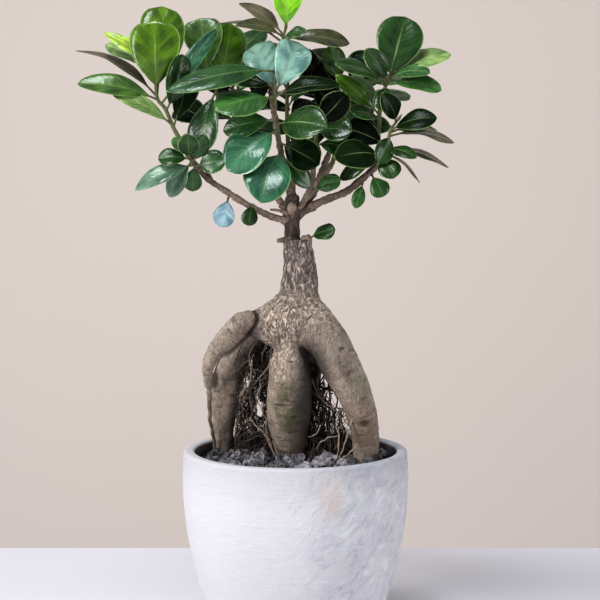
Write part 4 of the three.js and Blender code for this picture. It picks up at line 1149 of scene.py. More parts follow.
class Growth(Tree):
    """A Geometry Nodes tree with named inputs."""

    SOCKETS = {float: "NodeSocketFloat", int: "NodeSocketInt", bpy.types.Material: "NodeSocketMaterial"}

    def __init__(self, name, **inputs):
        self.tree = bpy.data.node_groups.new(name, "GeometryNodeTree")
        self.values = inputs
        face = self.tree.interface
        face.new_socket("Geometry", in_out="INPUT", socket_type="NodeSocketGeometry")
        face.new_socket("Geometry", in_out="OUTPUT", socket_type="NodeSocketGeometry")
        for label, value in inputs.items():
            face.new_socket(label, in_out="INPUT", socket_type=self.SOCKETS[type(value)])
        self.given = self.tree.nodes.new("NodeGroupInput").outputs
        self.result = self.tree.nodes.new("NodeGroupOutput").inputs["Geometry"]

    def scale(self, vector, share):
        """A vector made longer or shorter."""
        return self.node("ShaderNodeVectorMath", {0: vector, "Scale": share}, operation="SCALE").outputs[0]

    def finish(self, geometry):
        """Real geometry in the material that was given."""
        real = self.node("GeometryNodeRealizeInstances", {"Geometry": geometry})
        smooth = self.node("GeometryNodeSetShadeSmooth", {"Geometry": real.outputs[0]})
        dressed = self.node("GeometryNodeSetMaterial", {
            "Geometry": smooth.outputs[0], "Material": self.given["Material"],
        })
        self.tree.links.new(dressed.outputs[0], self.result)

    def grow(self, base, name):
        """Runs the tree on an object and keeps the result as a plain mesh."""
        modifier = base.modifiers.new(name, "NODES")
        modifier.node_group = self.tree
        for item in self.tree.interface.items_tree:
            if item.in_out == "INPUT" and item.name in self.values:
                modifier[item.identifier] = self.values[item.name]
        return plain_mesh(base, name)


def pot_profile():
    """The pot's section from the middle of its underside round the lip to the middle of its floor."""
    outer = [*POT_SIDE, [POT_RADIUS, WIDEST_HEIGHT], [POT_RADIUS - DRAWN_IN, POT_HEIGHT - LIP_ROUND]]
    inner = [[FLOOR_RADIUS, POT_FLOOR], *[[r - POT_WALL, z] for r, z in outer if z > POT_FLOOR + 4]]
    inner[-1][0] -= RIM_EXTRA
    outside = bend(outer)
    inside = bend(inner)[::-1]
    lip_outer, lip_inner = outside[-1][0], inside[0][0]
    quarter = [(1 - math.cos(t), 1 - math.sin(t)) for t in np.linspace(0.3, math.pi / 2, 5)]
    lip = [(lip_outer - LIP_ROUND * back, POT_HEIGHT - LIP_ROUND * down) for back, down in quarter]
    lip += [(lip_inner + LIP_ROUND * back, POT_HEIGHT - LIP_ROUND * down) for back, down in quarter[::-1]]
    return [(0, 0), *outside, *lip, *inside, (0, POT_FLOOR)]


def turned_growth(**inputs):
    """Turns a section round the pot's axis, a little uneven as cast and painted by hand."""
    growth = Growth("turned_pot", **inputs)
    given = growth.given
    profile = growth.node("GeometryNodeMeshToCurve", {"Mesh": given["Geometry"]})
    grid = growth.node("GeometryNodeMeshGrid", {
        "Size X": 1.0, "Size Y": 1.0, "Vertices X": given["Sides"], "Vertices Y": given["Rows"],
    })
    place = growth.node("ShaderNodeSeparateXYZ", {0: growth.node("GeometryNodeInputPosition").outputs[0]})
    section = growth.node("GeometryNodeSampleCurve", {
        "Curves": profile.outputs[0], "Factor": growth.plus(place.outputs["Y"], 0.5),
    }, mode="FACTOR", use_all_curves=True)
    around = growth.node("ShaderNodeVectorRotate", {
        "Vector": section.outputs["Position"], "Angle": growth.times(place.outputs["X"], 2 * math.pi),
    }, rotation_type="Z_AXIS")
    wall = growth.node("GeometryNodeSetPosition", {
        "Geometry": grid.outputs[0], "Position": around.outputs[0],
    })
    closed = growth.node("GeometryNodeMergeByDistance", {"Geometry": wall.outputs[0], "Distance": 0.00001})
    waver = growth.node("ShaderNodeTexNoise", {"Scale": 28.0, "Detail": 4.0})
    amount = growth.times(growth.minus(waver.outputs["Fac"], 0.5), given["Unevenness"])
    push = growth.scale(growth.node("GeometryNodeInputNormal").outputs[0], amount)
    uneven = growth.node("GeometryNodeSetPosition", {"Geometry": closed.outputs[0], "Offset": push})
    growth.finish(uneven.outputs[0])
    return growth


def make_pot(settings):
    """The pot, turned from its section."""
    section = bpy.data.meshes.new("pot_section")
    points = pot_profile()
    section.from_pydata(
        [(r * MM, 0, z * MM) for r, z in points], [(i, i + 1) for i in range(len(points) - 1)], [],
    )
    material = concrete(tuple(settings.wash_colour), tuple(settings.grey_colour))
    growth = turned_growth(Sides=181, Rows=300, Unevenness=settings.unevenness, Material=material)
    piece = growth.grow(put_in_scene("pot_section", section), "concrete_pot")
    outward(piece)
    return finish_piece(piece, "concrete", "pot")


def outward(piece):
    """Turns a closed mesh's faces outwards if its volume comes out negative."""
    data = piece.data
    data.calc_loop_triangles()
    corners = read_rows(data.loop_triangles, "vertices", 3, int)
    a, b, c = read_rows(data.vertices, "co", 3)[corners].transpose(1, 0, 2)
    if float(np.einsum("ij,ij->", a, np.cross(b, c))) < 0:
        data.flip_normals()


def bed_disc(radius, height, name):
    """A flat round sheet of many faces."""
    shell = Shell()
    rings, spokes = 24, 72
    vertices = [(0, 0, height)]
    for i in range(1, rings + 1):
        for k in range(spokes):
            turn = 2 * math.pi * k / spokes
            r = radius * i / rings
            vertices.append((r * math.cos(turn), r * math.sin(turn), height))
    faces = [(0, 1 + k, 1 + (k + 1) % spokes) for k in range(spokes)]
    for i in range(rings - 1):
        a, b = 1 + i * spokes, 1 + (i + 1) * spokes
        faces += [(a + k, b + k, b + (k + 1) % spokes, a + (k + 1) % spokes) for k in range(spokes)]
    shell.add(vertices, faces)
    return shell.mesh(name, [])


def scattered_growth(**inputs):
    """Scatters rough stones over a sheet, each turned and sized by chance."""
    growth = Growth("scattered_stones", **inputs)
    given = growth.given

    def chance(kind, ends=None):
        """A value for each stone, between ends given by socket number."""
        return growth.node("FunctionNodeRandomValue", {**(ends or {}), "Seed": given["Seed"]}, data_type=kind)

    spread = growth.node("GeometryNodeDistributePointsOnFaces", {
        "Mesh": given["Geometry"], "Distance Min": given["Spacing"], "Density Max": 200000.0,
        "Seed": given["Seed"],
    }, distribute_method="POISSON")
    stone = growth.node("GeometryNodeMeshIcoSphere", {"Radius": 1.0, "Subdivisions": given["Facets"]})
    turn = chance("FLOAT_VECTOR", {0: (0.0, 0.0, 0.0), 1: (6.28, 6.28, 6.28)})
    shape = chance("FLOAT_VECTOR", {0: (0.75, 0.6, 0.5), 1: (1.15, 1.0, 0.85)})
    size = chance("FLOAT", {2: given["Smallest"], 3: given["Largest"]})
    set_out = growth.node("GeometryNodeInstanceOnPoints", {
        "Points": spread.outputs["Points"], "Instance": stone.outputs["Mesh"],
        "Rotation": turn.outputs[0], "Scale": growth.scale(shape.outputs[0], size.outputs[1]),
    })
    shaded = growth.node("GeometryNodeStoreNamedAttribute", {
        "Geometry": set_out.outputs[0], "Name": "shade", "Value": chance("FLOAT").outputs[1],
    }, data_type="FLOAT", domain="INSTANCE")
    real = growth.node("GeometryNodeRealizeInstances", {"Geometry": shaded.outputs[0]})
    lumps = growth.node("ShaderNodeTexNoise", {"Scale": given["Lumps"], "Detail": 2.0})
    centred = growth.node(
        "ShaderNodeVectorMath", {0: lumps.outputs["Color"], 1: (0.5, 0.5, 0.5)}, operation="SUBTRACT",
    )
    push = growth.scale(centred.outputs[0], given["Roughness"])
    rough = growth.node("GeometryNodeSetPosition", {"Geometry": real.outputs[0], "Offset": push})
    growth.finish(rough.outputs[0])
    return growth


def make_gravel(settings):
    """Large rough stones, and small ones lying between them."""
    inside = POT_RADIUS - POT_WALL
    skin = lava(tuple(settings.gravel_colour))
    # The small stones are a third of the gravel's shade: partly dark soil-coloured grit, partly painted shade
    # in the gaps between the large stones
    dark_skin = lava(scaled(settings.gravel_colour, 0.35))
    grit = scattered_growth(
        Spacing=0.0056, Smallest=0.0012, Largest=0.0024, Seed=5, Facets=2, Lumps=520.0, Roughness=0.0022,
        Material=dark_skin,
    ).grow(bed_disc(inside - 3.4, BED_TOP + 0.2, "grit_sheet"), "lava_grit")
    grit.data.shade_flat()
    finish_piece(grit, "gravel")
    piece = scattered_growth(
        Spacing=settings.stone_spacing, Smallest=settings.smallest_stone, Largest=settings.largest_stone,
        Seed=4, Facets=3, Lumps=190.0, Roughness=0.0125, Material=skin,
    ).grow(bed_disc(inside - 8.8, BED_TOP + 0.9, "gravel_sheet"), "lava_stones")
    piece.data.shade_flat()
    return finish_piece(piece, "gravel", "gravel")


def make_soil(settings):
    """The soil between and under the stones: a crumbly cap, and loose crumbs on it."""
    ground = earth()
    sheet = bed_disc(POT_RADIUS - POT_WALL - 2.2, BED_TOP, "crumb_sheet")
    crumbs = scattered_growth(
        Spacing=0.0024, Smallest=0.0006, Largest=0.0016, Seed=9, Facets=1, Lumps=700.0, Roughness=0.0012,
        Material=ground,
    ).grow(sheet, "soil_crumbs")
    cap = bed_disc(POT_RADIUS - POT_WALL - 0.6, BED_TOP, "soil_cap")
    for vertex in cap.data.vertices:
        vertex.co.z += 0.0012 * noise.noise(vertex.co * 140) + 0.0006 * noise.noise(vertex.co * 420)
    cap.data.materials.append(ground)
    finish_piece(crumbs, "soil")
    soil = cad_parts["potting_soil"]
    soil.data.materials.clear()
    soil.data.materials.append(ground)
    return finish_piece(cap, "soil")


def route_field(low, shape, cell, rows):
    """Signed distance to a tapering route at a grid's points, wherever the route is near."""
    field = np.full(shape, 9.0)
    points, radii = smooth_route(rows, 4)
    for a, b, start, end in zip(points, points[1:], radii, radii[1:]):
        reach = max(start, end) + 9
        first = np.clip(((np.minimum(a, b) - reach - low) / cell).astype(int), 0, shape)
        last = np.clip(((np.maximum(a, b) + reach - low) / cell).astype(int) + 1, 0, shape)
        part = tuple(slice(*ends) for ends in zip(first, last))
        x, y, z = [axis * cell + low[k] - a[k] for k, axis in enumerate(np.ogrid[part])]
        run = b - a
        share = np.clip((x * run[0] + y * run[1] + z * run[2]) / (run @ run), 0, 1)
        away = (x - share * run[0]) ** 2 + (y - share * run[1]) ** 2 + (z - share * run[2]) ** 2
        field[part] = np.minimum(field[part], np.sqrt(away) - start - share * (end - start))
    return field


def swollen_field(routes, low, shape, cell):
    """Smooth union of routes, which lets the roots grow into each other at the hip."""
    height = np.arange(shape[2]) * cell + low[2]
    least = None
    for rows in routes:
        field = route_field(low, shape, cell, rows)
        if least is None:
            least = np.maximum(field, height - STOCK_TOP)
            continue
        blend = FINGER_BLEND if rows in (OUTER_FINGER, GRAFT) else BLEND
        near = np.maximum(blend - np.abs(least - field), 0) / blend
        least = np.minimum(least, field) - near ** 2 * blend / 4
    return np.maximum(least, ROOT_FOOT - height)


def net_skin(field, low, cell):
    """Vertices and four-sided faces of a net drawn where a field passes through zero."""
    inside = field < 0
    cells = tuple(n - 1 for n in field.shape)
    sums, counts = np.zeros((*cells, 3)), np.zeros(cells)
    quads = []
    number = np.zeros(cells, int)
    steps = [(i, j, k) for i in (0, 1) for j in (0, 1) for k in (0, 1)]

    def corner(array, offset):
        return array[tuple(slice(o, o + n) for o, n in zip(offset, cells))]

    for axis in range(3):
        for offset in steps:
            if offset[axis]:
                continue
            ahead = tuple(o + (k == axis) for k, o in enumerate(offset))
            a, b = corner(field, offset), corner(field, ahead)
            cross = (a < 0) != (b < 0)
            share = np.where(cross, a / np.where(cross, a - b, 1), 0)
            for k in range(3):
                sums[..., k] += cross * (offset[k] + (share if k == axis else 0))
            counts += cross
    used = np.argwhere(counts > 0)
    number[tuple(used.T)] = np.arange(len(used))
    at = tuple(used.T)
    vertices = low + cell * (used + sums[at] / counts[at][:, None])
    for axis in range(3):
        one, two = (axis + 1) % 3, (axis + 2) % 3
        ahead = [slice(1, n) for n in cells]
        ahead[axis] = slice(0, cells[axis])
        beyond = list(ahead)
        beyond[axis] = slice(1, cells[axis] + 1)
        a, b = inside[tuple(ahead)], inside[tuple(beyond)]
        found = np.argwhere(a != b)
        outwards = a[tuple(found.T)]
        found += [0 if k == axis else 1 for k in range(3)]
        ring = []
        for back_one, back_two in ((1, 1), (0, 1), (0, 0), (1, 0)):
            place = found.copy()
            place[:, one] -= back_one
            place[:, two] -= back_two
            ring.append(number[tuple(place.T)])
        ring = np.array(ring).T
        ring[~outwards] = ring[~outwards][:, ::-1]
        quads.append(ring)
    return vertices, np.vstack(quads)


def hollow_share(field, low, cell, vertices, normals):
    """How much of the space in front of each vertex another root takes: 0 in the open, 1 in a crease. The
    bark is painted darker by it, as shade.
    """
    open_share = 0
    for reach in (2.5, 5, 8):
        place = np.clip((vertices + normals * reach - low) / cell, 0, np.array(field.shape) - 1.001)
        corner = place.astype(int)
        share = place - corner
        distance = 0
        for offset in np.ndindex(2, 2, 2):
            weight = np.prod(np.where(offset, share, 1 - share), axis=1)
            distance = distance + weight * field[tuple((corner + offset).T)]
        open_share = open_share + np.clip(distance / reach, 0, 1) / 3
    return 1 - open_share


def beside(vertices, rows):
    """Distance from a route's outline to each vertex, both as the front shows them."""
    points, radii = smooth_route(rows, 2)
    off = vertices[:, None, [0, 2]] - points[None, :, [0, 2]]
    return (np.linalg.norm(off, axis=2) - radii).min(1)


def down_the_roots(vertices, routes):
    """How far along its nearest route each vertex lies, and which route that is."""
    rows = []
    for number, route in enumerate(routes):
        points, radii = smooth_route(route, 2)
        runs = np.diff(points, axis=0)
        walked = np.concatenate([[0], np.cumsum(np.linalg.norm(runs, axis=1))])
        ways = np.vstack([runs, runs[-1:]])
        ways /= np.linalg.norm(ways, axis=1)[:, None]
        rows.append(np.column_stack([points, radii, walked, ways, np.full(len(points), number)]))
    rows = np.vstack(rows)
    along, nearest = np.empty(len(vertices)), np.empty(len(vertices), int)
    for part in np.array_split(np.arange(len(vertices)), 80):
        off = vertices[part][:, None] - rows[None, :, :3]
        best = rows[(np.linalg.norm(off, axis=2) - rows[:, 3]).argmin(1)]
        along[part] = best[:, 4] + np.einsum("ij,ij->i", vertices[part] - best[:, :3], best[:, 5:8])
        nearest[part] = best[:, 8]
    return along, nearest


def finger_shadow(vertices, normals, nearest):
    """Painted shadow of the outer finger on the root under it, on faces seen from the front: 0 in the open, 1
    beside the finger.
    """
    reach = 2.4 + 2.4 * np.clip((186 - vertices[:, 2]) / 8, 0, 1)
    outer_top = np.clip(3 * (0.6 * normals[:, 2] - 0.8 * normals[:, 0]) - 1.2, 0, 1)
    outer_top *= np.clip((-28 - vertices[:, 0]) / 5, 0, 1)
    edge = beside(vertices, OUTER_FINGER)
    share = np.where(edge > 0, edge / (reach * (1 - 0.5 * outer_top)), -edge / (1.8 - 1.3 * outer_top))
    front = (vertices[:, 1] > -9) * np.clip(0.3 - 2 * normals[:, 1] + outer_top, 0, 1)
    return np.clip(1.05 - share, 0, 1) * ((nearest != 1) * front)


def skin_of(parts, cell, name):
    """One skin over many tapering routes, grown into each other where they meet.

    Each part is a route, and the heights between which its skin turns from smooth to speckled.
    """
    routes = [rows for rows, *_ in parts]
    corners = np.array([[*seen(row), row[3]] for rows in routes for row in rows])
    low = (corners[:, :3] - corners[:, 3:]).min(0) - 3 * cell - 1
    high = (corners[:, :3] + corners[:, 3:]).max(0) + 3 * cell + 1
    shape = tuple(((high - low) / cell).astype(int) + 1)
    field = swollen_field(routes, low, shape, cell)
    vertices, faces = net_skin(field, low, cell)
    data = bpy.data.meshes.new(name)
    data.from_pydata((vertices * MM).tolist(), [], faces.tolist())
    walked, nearest = down_the_roots(vertices, routes)
    ends = np.array([part[1:] for part in parts], float)[nearest]
    speckle = np.clip((vertices[:, 2] - ends[:, 0]) / (ends[:, 1] - ends[:, 0]), 0, 1)
    normals = read_rows(data.vertex_normals, "vector", 3)
    # Painted shade in the creases, weaker on faces turned left towards the light, and the painted shadow of
    # the outer finger
    hollow = hollow_share(field, low, cell, vertices, normals) * np.clip(normals[:, 0] * 2 + 1, 0.2, 1)
    hollow = np.maximum(hollow, finger_shadow(vertices, normals, nearest))
    store(data, along=walked * MM, speckle=speckle, hollow=hollow)
    return put_in_scene(name, data)


def swell(piece):
    """Lumps, wrinkles and rings in the bark, and the split down the front of the stock."""
    data = piece.data
    normals = read_rows(data.vertex_normals, "vector", 3)
    along = read_rows(data.attributes["along"].data, "value", 1)[:, 0]
    for vertex, normal, down in zip(data.vertices, normals, along / MM):
        p = vertex.co / MM
        high = min(max((p.z - 160) / 25, 0), 1)
        stock = min(max((p.z - 200) / 10, 0), 1)
        lump = 0.55 * noise.noise(p / 13) + 0.3 * noise.noise(p / 5.5 + Vector((7, 0, 0)))
        wart = (0.08 + 0.3 * high + 0.35 * stock) * noise.noise(Vector((p.x / 2.4, p.y / 2.4, p.z / 4)))
        ring = (1 - high) * 0.22 * noise.noise(Vector((p.x / 16, p.y / 16, down / 2)))
        split = -1.3 * stock * math.exp(-(((p.x - 7.4) / 1.1) ** 2)) * (p.y < 6) * (p.z < 229)
        vertex.co += Vector(normal) * ((lump + wart + ring + split) * MM)


def make_trunk(settings):
    """The hip, the swollen roots, the stock and the graft as one skin."""
    parts = [
        (STOCK, 0, 1), (OUTER_FINGER, 400, 401), (SHOULDER, 170, 182), (INNER_LEFT_LOBE, 172, 188),
        (INNER_LEFT_ROOT, 172, 188), (MIDDLE_ROOT, 140, 178), (RIGHT_ROOT, 168, 196),
        (BACK_ROOT, 165, 185), (HIP_LOBE, 160, 172), (GRAFT, 0, 1),
    ]
    piece = skin_of(parts, SKIN_CELL, "ginseng_root")
    swell(piece)
    piece.data.materials.append(root_bark(tuple(settings.bark_light), tuple(settings.bark_dark)))
    piece.data.shade_smooth()
    outward(piece)
    return finish_piece(piece, "bark", "ginseng_trunk")


def knotty(points, radii, seed):
    """Branch radii with leaf scars and small swellings along them."""
    draw = draw_from(seed)
    walked = np.concatenate([[0], np.cumsum(np.linalg.norm(np.diff(points, axis=0), axis=1))])
    made = radii * (1 + 0.06 * np.sin(walked / 1.7) + 0.05 * np.sin(walked / 0.63))
    for _ in range(int(walked[-1] / 9)):
        at = walked[-1] * next(draw)
        made = made * (1 + 0.2 * np.exp(-(((walked - at) / 0.9) ** 2)))
    return made


def make_branches(settings):
    """The bare branches, spurs and pruned stubs, with their bark's swellings."""
    shell = Shell()
    for i, rows in enumerate([*WOOD, *PRUNED_STUBS]):
        points, radii = smooth_route(rows, 0.8)
        shell.add(*tube(points, knotty(points, radii, 31 + i), 12))
    wood = bark("branch_bark", tuple(settings.branch_light), tuple(settings.branch_dark), 0.4, 0.5)
    piece = shell.mesh("bare_branches", [wood])
    for vertex in piece.data.vertices:
        place = vertex.co / (BARK_GRAIN * MM)
        shift = [noise.noise(place + Vector(off)) for off in ((0, 0, 0), (9, 0, 0), (0, 9, 0))]
        vertex.co += Vector(shift) * (BARK_ROUGHNESS * MM)
    return finish_piece(piece, "bark")


def hair_routes(count_share):
    """Thin roots that curl down through the gaps, some caught across them, each with its own shade."""
    draw = draw_from(HAIR_SEED)
    routes = []
    for low, high, count, paleness, least, greatest in ROOT_GAPS:
        low, high = np.array(low, float), np.array(high, float)
        for _ in range(int(count * count_share)):
            point = low + (high - low) * np.array([next(draw), next(draw), 0.1 + 0.9 * next(draw)])
            heading = np.array([next(draw) - 0.5, next(draw) - 0.5, -0.3 - next(draw)])
            radius = least + (greatest - least) * next(draw) ** 3
            shade = paleness * next(draw) ** 2
            curl = 0.7 + 1.4 * next(draw)
            route = [[*point, radius, shade]]
            for step in range(5 + int(9 * next(draw))):
                heading = heading + np.array([next(draw) - 0.5, next(draw) - 0.5, next(draw) - 0.56]) * curl
                point = point + unit(heading) * HAIR_STEP
                heading[(point < low) | (point > high)] *= -0.7
                point = np.clip(point, low - 0.8, high + 0.8)
                if any(abs(point[0] - x) < w and abs(point[2] - z) < h for x, z, w, h in WEB_HOLES):
                    break
                route.append([*point, radius * (1 - 0.04 * step), shade])
            if len(route) > 2:
                routes.append(route)
    return routes


def wiry(rows, share, shade, seed):
    """A strand along a route, thinner than the route by a share, with small kinks and knots."""
    points, radii = smooth_route(rows, STRAND_STEP)
    made = []
    for i, (point, radius) in enumerate(zip(points, radii)):
        kink = noise.noise_vector(Vector((i * 0.9, seed * 3.1, 0))) * KINK
        knot = 1 + 0.5 * noise.noise(Vector((i * 0.7, 0, seed * 2.3)))
        made.append([*(point + np.array(kink)), radius * share * knot, shade])
    return made


def strands_growth(**inputs):
    """Runs a thin round skin along every strand, as thick as the strand says at each point."""
    growth = Growth("root_strands", **inputs)
    strands = growth.node("GeometryNodeMeshToCurve", {"Mesh": growth.given["Geometry"]})
    smooth = growth.node(
        "GeometryNodeCurveSplineType", {"Curve": strands.outputs[0]}, spline_type="CATMULL_ROM",
    )
    fine = growth.node("GeometryNodeSetSplineResolution", {"Geometry": smooth.outputs[0], "Resolution": 3})
    width = growth.node("GeometryNodeInputNamedAttribute", {"Name": "width"}, data_type="FLOAT")
    ring = growth.node("GeometryNodeCurvePrimitiveCircle", {
        "Resolution": growth.given["Sides"], "Radius": MM,
    })
    skin = growth.node("GeometryNodeCurveToMesh", {
        "Curve": fine.outputs[0], "Profile Curve": ring.outputs[0], "Fill Caps": True,
        "Scale": width.outputs[0],
    })
    growth.finish(skin.outputs[0])
    return growth


def strands_base(routes, name):
    """The strands' middle lines as loose edges, with the width and the shade at each point."""
    rows = [row for route in routes for row in route]
    edges, first = [], 0
    for route in routes:
        edges += [(first + i, first + i + 1) for i in range(len(route) - 1)]
        first += len(route)
    data = bpy.data.meshes.new(name)
    data.from_pydata([tuple(c * MM for c in row[:3]) for row in rows], edges, [])
    store(data, width=[row[3] for row in rows], shade=[row[4] for row in rows])
    return put_in_scene(name, data)


def grow_strands(routes, name, sides, material):
    """Strands along routes, as one finished piece of bark."""
    lines = strands_base(routes, name + "_lines")
    return finish_piece(strands_growth(Sides=sides, Material=material).grow(lines, name), "bark")


def make_fine_roots(settings):
    """The fine roots that the solids have too, bleached threads in front, and a web of hair roots."""
    noise.seed_set(KINK_SEED)
    hanging = [wiry(rows, 0.9 if i == 0 else 0.6, 1, i) for i, rows in enumerate(FINE_ROOTS)]
    light, dark = scaled(settings.bark_light, 0.92), scaled(settings.bark_dark, 0.9)
    pale = bark("fine_root_bark", light, dark, 0.3, 0.3)
    grow_strands(hanging, "hanging_roots", 8, pale)
    # Nearly black and bleached tones of the hair roots; the black is partly painted shade in the gaps
    web = thread((0.02, 0.013, 0.009), (0.36, 0.28, 0.22))
    threads = [wiry(rows, 0.75, 0.7, 40 + i) for i, rows in enumerate(THREAD_ROOTS)]
    grow_strands(threads, "thread_roots", 6, web)
    hairs = hair_routes(settings.hair_share * (1))
    return grow_strands(hairs, "hair_roots", 3, web)


def blade_half_width(share, tip=0.5):
    """Half width of an outline widest past the middle, as a share of the full half width.

    The tip is rounded for 0.5, and more pointed the greater it is.
    """
    widest = 0.9 / (0.9 + tip)
    return (share / widest) ** 0.9 * (max(1 - share, 0) / (1 - widest)) ** tip


def add_leaf(shell, leaf, tone, seed, tip):
    """A thin leaf with a stalk, a creased midrib, a slight twist and a wavy edge of its own."""
    draw = draw_from(seed)
    cup = 0.2 * (next(draw) - 0.6)
    phase = 6.28 * next(draw)
    wave = 0.25 + 0.6 * next(draw)
    fold = FOLD * (0.6 + 1.9 * next(draw) ** 1.3)
    twist = 0.8 * (next(draw) - 0.5)
    bow = 0.11 * (next(draw) - 0.35) * leaf["length"]
    slender = min(max((leaf["length"] / leaf["width"] - 1.6) / 1.6, 0), 1)
    tip = tip + 0.12 * next(draw) + 0.3 * slender
    lean = 0.05 * (next(draw) - 0.5) * leaf["length"]
    thick = HALF_THICKNESS
    rows, columns = LEAF_ROWS, LEAF_COLUMNS
    top, bottom, places = [], [], []
    for i in range(rows + 1):
        t = i / rows
        share = STALK_SHARE + t * (1 - STALK_SHARE)
        half = max(blade_half_width(t, tip) * leaf["width"] / 2, 0.45 if t < 0.5 else 0.12)
        turn = twist * (t - 0.35)
        across = leaf["across"] * math.cos(turn) + leaf["out"] * math.sin(turn)
        out = leaf["out"] * math.cos(turn) - leaf["across"] * math.sin(turn)
        middle = leaf_point(leaf, share, half, 0) - leaf["out"] * (bow * t * t)
        middle = middle + leaf["across"] * (lean * math.sin(math.pi * t))
        for j in range(columns + 1):
            side = 2 * j / columns - 1
            rise = fold * half * (math.sqrt(side * side + 0.012) - 0.11) + cup * half * side * side
            edge = wave * math.sin(phase + 8 * t + (2 if side > 0 else 0)) * side ** 4 * math.sin(math.pi * t)
            curl = -0.1 * half * side ** 6
            groove = -0.16 * math.exp(-((side / 0.05) ** 2)) * (1 - t)
            point = middle + across * (side * half) + out * (rise + edge + curl)
            rim = 1 - side ** 8
            keel = 0.25 * math.exp(-((side / 0.08) ** 2)) * (1 - t)
            top.append(point + out * (thick * rim + groove))
            bottom.append(point - out * (thick * rim + keel))
            places.append((j / columns, t))
    stride = columns + 1
    count = len(top)
    faces = []
    for i in range(rows):
        for j in range(columns):
            a, b = i * stride + j, (i + 1) * stride + j
            faces.append((a, b, b + 1, a + 1))
            faces.append((count + a, count + a + 1, count + b + 1, count + b))
    for i in range(rows):
        a, b = i * stride, (i + 1) * stride
        faces.append((a, count + a, count + b, b))
        faces.append((a + columns, b + columns, count + b + columns, count + a + columns))
    last = rows * stride
    for j in range(columns):
        faces.append((j, j + 1, count + j + 1, count + j))
        faces.append((last + j, count + last + j, count + last + j + 1, last + j + 1))
    sides = [1] * count + [0] * count
    shell.add(top + bottom, faces, places + places, TONES[tone], sides)
    stalk = [leaf_point(leaf, share, 0, 0) for share in np.linspace(0, STALK_SHARE + 0.07, 7)]
    radii = np.linspace(0.75, 0.5, 7)
    shell.add(*tube(stalk, radii, 8), tone=TONES[tone], slot=1)


def add_stem(shell, rows):
    """A young stem with rings where leaves sit, and a pointed bud at its end."""
    points, radii = smooth_route(rows, 1.5)
    tip = unit(points[-1] - points[-2])
    bud = np.array([points[-1] + tip * d for d in (1, 2.2, 3.6, 5)])
    points = np.vstack([points, bud])
    radii = np.concatenate([radii, [0.95, 0.9, 0.55, 0.12]])
    shell.add(*tube(points, radii, 8), tone=TONES["pale"], slot=1)


def make_leaves(settings):
    """Every leafy stem and single leaf, each as one piece."""
    placed, stems = placed_leaves()
    skin = leaf_skin(tuple(settings.vein_colour), tuple(settings.edge_colour))
    stem_skin = green_wood(tuple(settings.stem_colour))
    shells = {}
    for i, item in enumerate(placed):
        shell = shells.setdefault(item["owner"], Shell())
        tip = BROAD_TIP if item["tone"] == "sheen" else TIPS.get(item["owner"], USUAL_TIP)
        add_leaf(shell, item["leaf"], item["tone"], 101 + 13 * i, tip)
    for owner, shell in shells.items():
        if owner in stems:
            add_stem(shell, stems[owner])
        piece = shell.mesh(owner + "_dressed", [skin, stem_skin])
        finish_piece(piece, "young_leaf" if owner == "shoot_left" else "leaf", owner)


def look_at(source, target):
    """Turns a light so that it shines at a place."""
    source.rotation_euler = (Vector(target) - source.location).to_track_quat("-Z", "Y").to_euler()


def soft_light(name, location, target, size, power, colour):
    """A round soft light."""
    data = bpy.data.lights.new(name, "AREA")
    data.shape = "DISK"
    data.size = size
    data.energy = power
    data.color = colour
    light = put_in_scene(name, data)
    light.location = location
    look_at(light, target)
    return light


def stage_sheet(name, corners, material):
    """A flat sheet that belongs to the stage."""
    data = bpy.data.meshes.new(name)
    data.from_pydata(corners, [], [(0, 1, 2, 3)])
    data.materials.append(material)
    put_in_scene(name, data)


def make_stage(settings):
    """The table, the backdrop, the lights and the camera."""
    table = Paint("pale_table", 0.5)
    grain = table.noise(60, 3, table.stretched(0.2, 1, 1))
    table.finish(table.mix(grain, (0.66, 0.65, 0.69), (0.7, 0.69, 0.73)))
    wall = Paint("pale_wall", 0.95)
    wall.finish(wall.mix(wall.noise(900, 2), (0.72, 0.63, 0.58), (0.76, 0.67, 0.62)))
    stage_sheet("table", [(-4, -4, 0), (4, -4, 0), (4, 0.2155, 0), (-4, 0.2155, 0)], table.material)
    stage_sheet("backdrop", [(-9, 3.4, -3), (9, 3.4, -3), (9, 3.4, 5), (-9, 3.4, 5)], wall.material)
    world = bpy.data.worlds.new("studio")
    world.use_nodes = True
    world.node_tree.nodes["Background"].inputs["Color"].default_value = (0.92, 0.94, 1, 1)
    world.node_tree.nodes["Background"].inputs["Strength"].default_value = 0.41
    bpy.context.scene.world = world
    soft_light("window", (-1.6, -0.9, 0.85), (0, 0, 0.22), 1.0, 30, (1, 0.98, 0.96))
    soft_light("sky_window", (-0.3, -0.6, 1.65), (0, 0, 0.25), 0.6, 15, (0.9, 0.96, 1))
    soft_light("low_fill", (1.3, -0.75, 0.16), (0, 0, 0.03), 0.8, 10, (0.98, 0.98, 1))
    behind = soft_light("wall_light", (-0.3, 0.7, 0.35), (-0.3, 3.4, 0.35), 1.4, 22, (1, 0.98, 0.96))
    behind.visible_camera = False
    bpy.context.scene.view_settings.view_transform = "Standard"
    bpy.context.scene.view_settings.look = "Medium High Contrast"
    data = bpy.data.cameras.new("camera")
    data.lens = 120
    data.sensor_width = 36
    data.clip_end = 50
    camera = put_in_scene("camera", data)
    camera.location = (EYE_RIGHT * MM, -EYE_DISTANCE * MM, EYE_HEIGHT * MM)
    camera.rotation_euler = ((90 - LOOK_DOWN) * DEGREE, 0, 0)
    bpy.context.scene.camera = camera


def colour_property(name, description, default):
    """A colour of a finish."""
    return bpy.props.FloatVectorProperty(
        name=name, description=description, default=default, size=3, min=0, max=1, subtype="COLOR",
    )


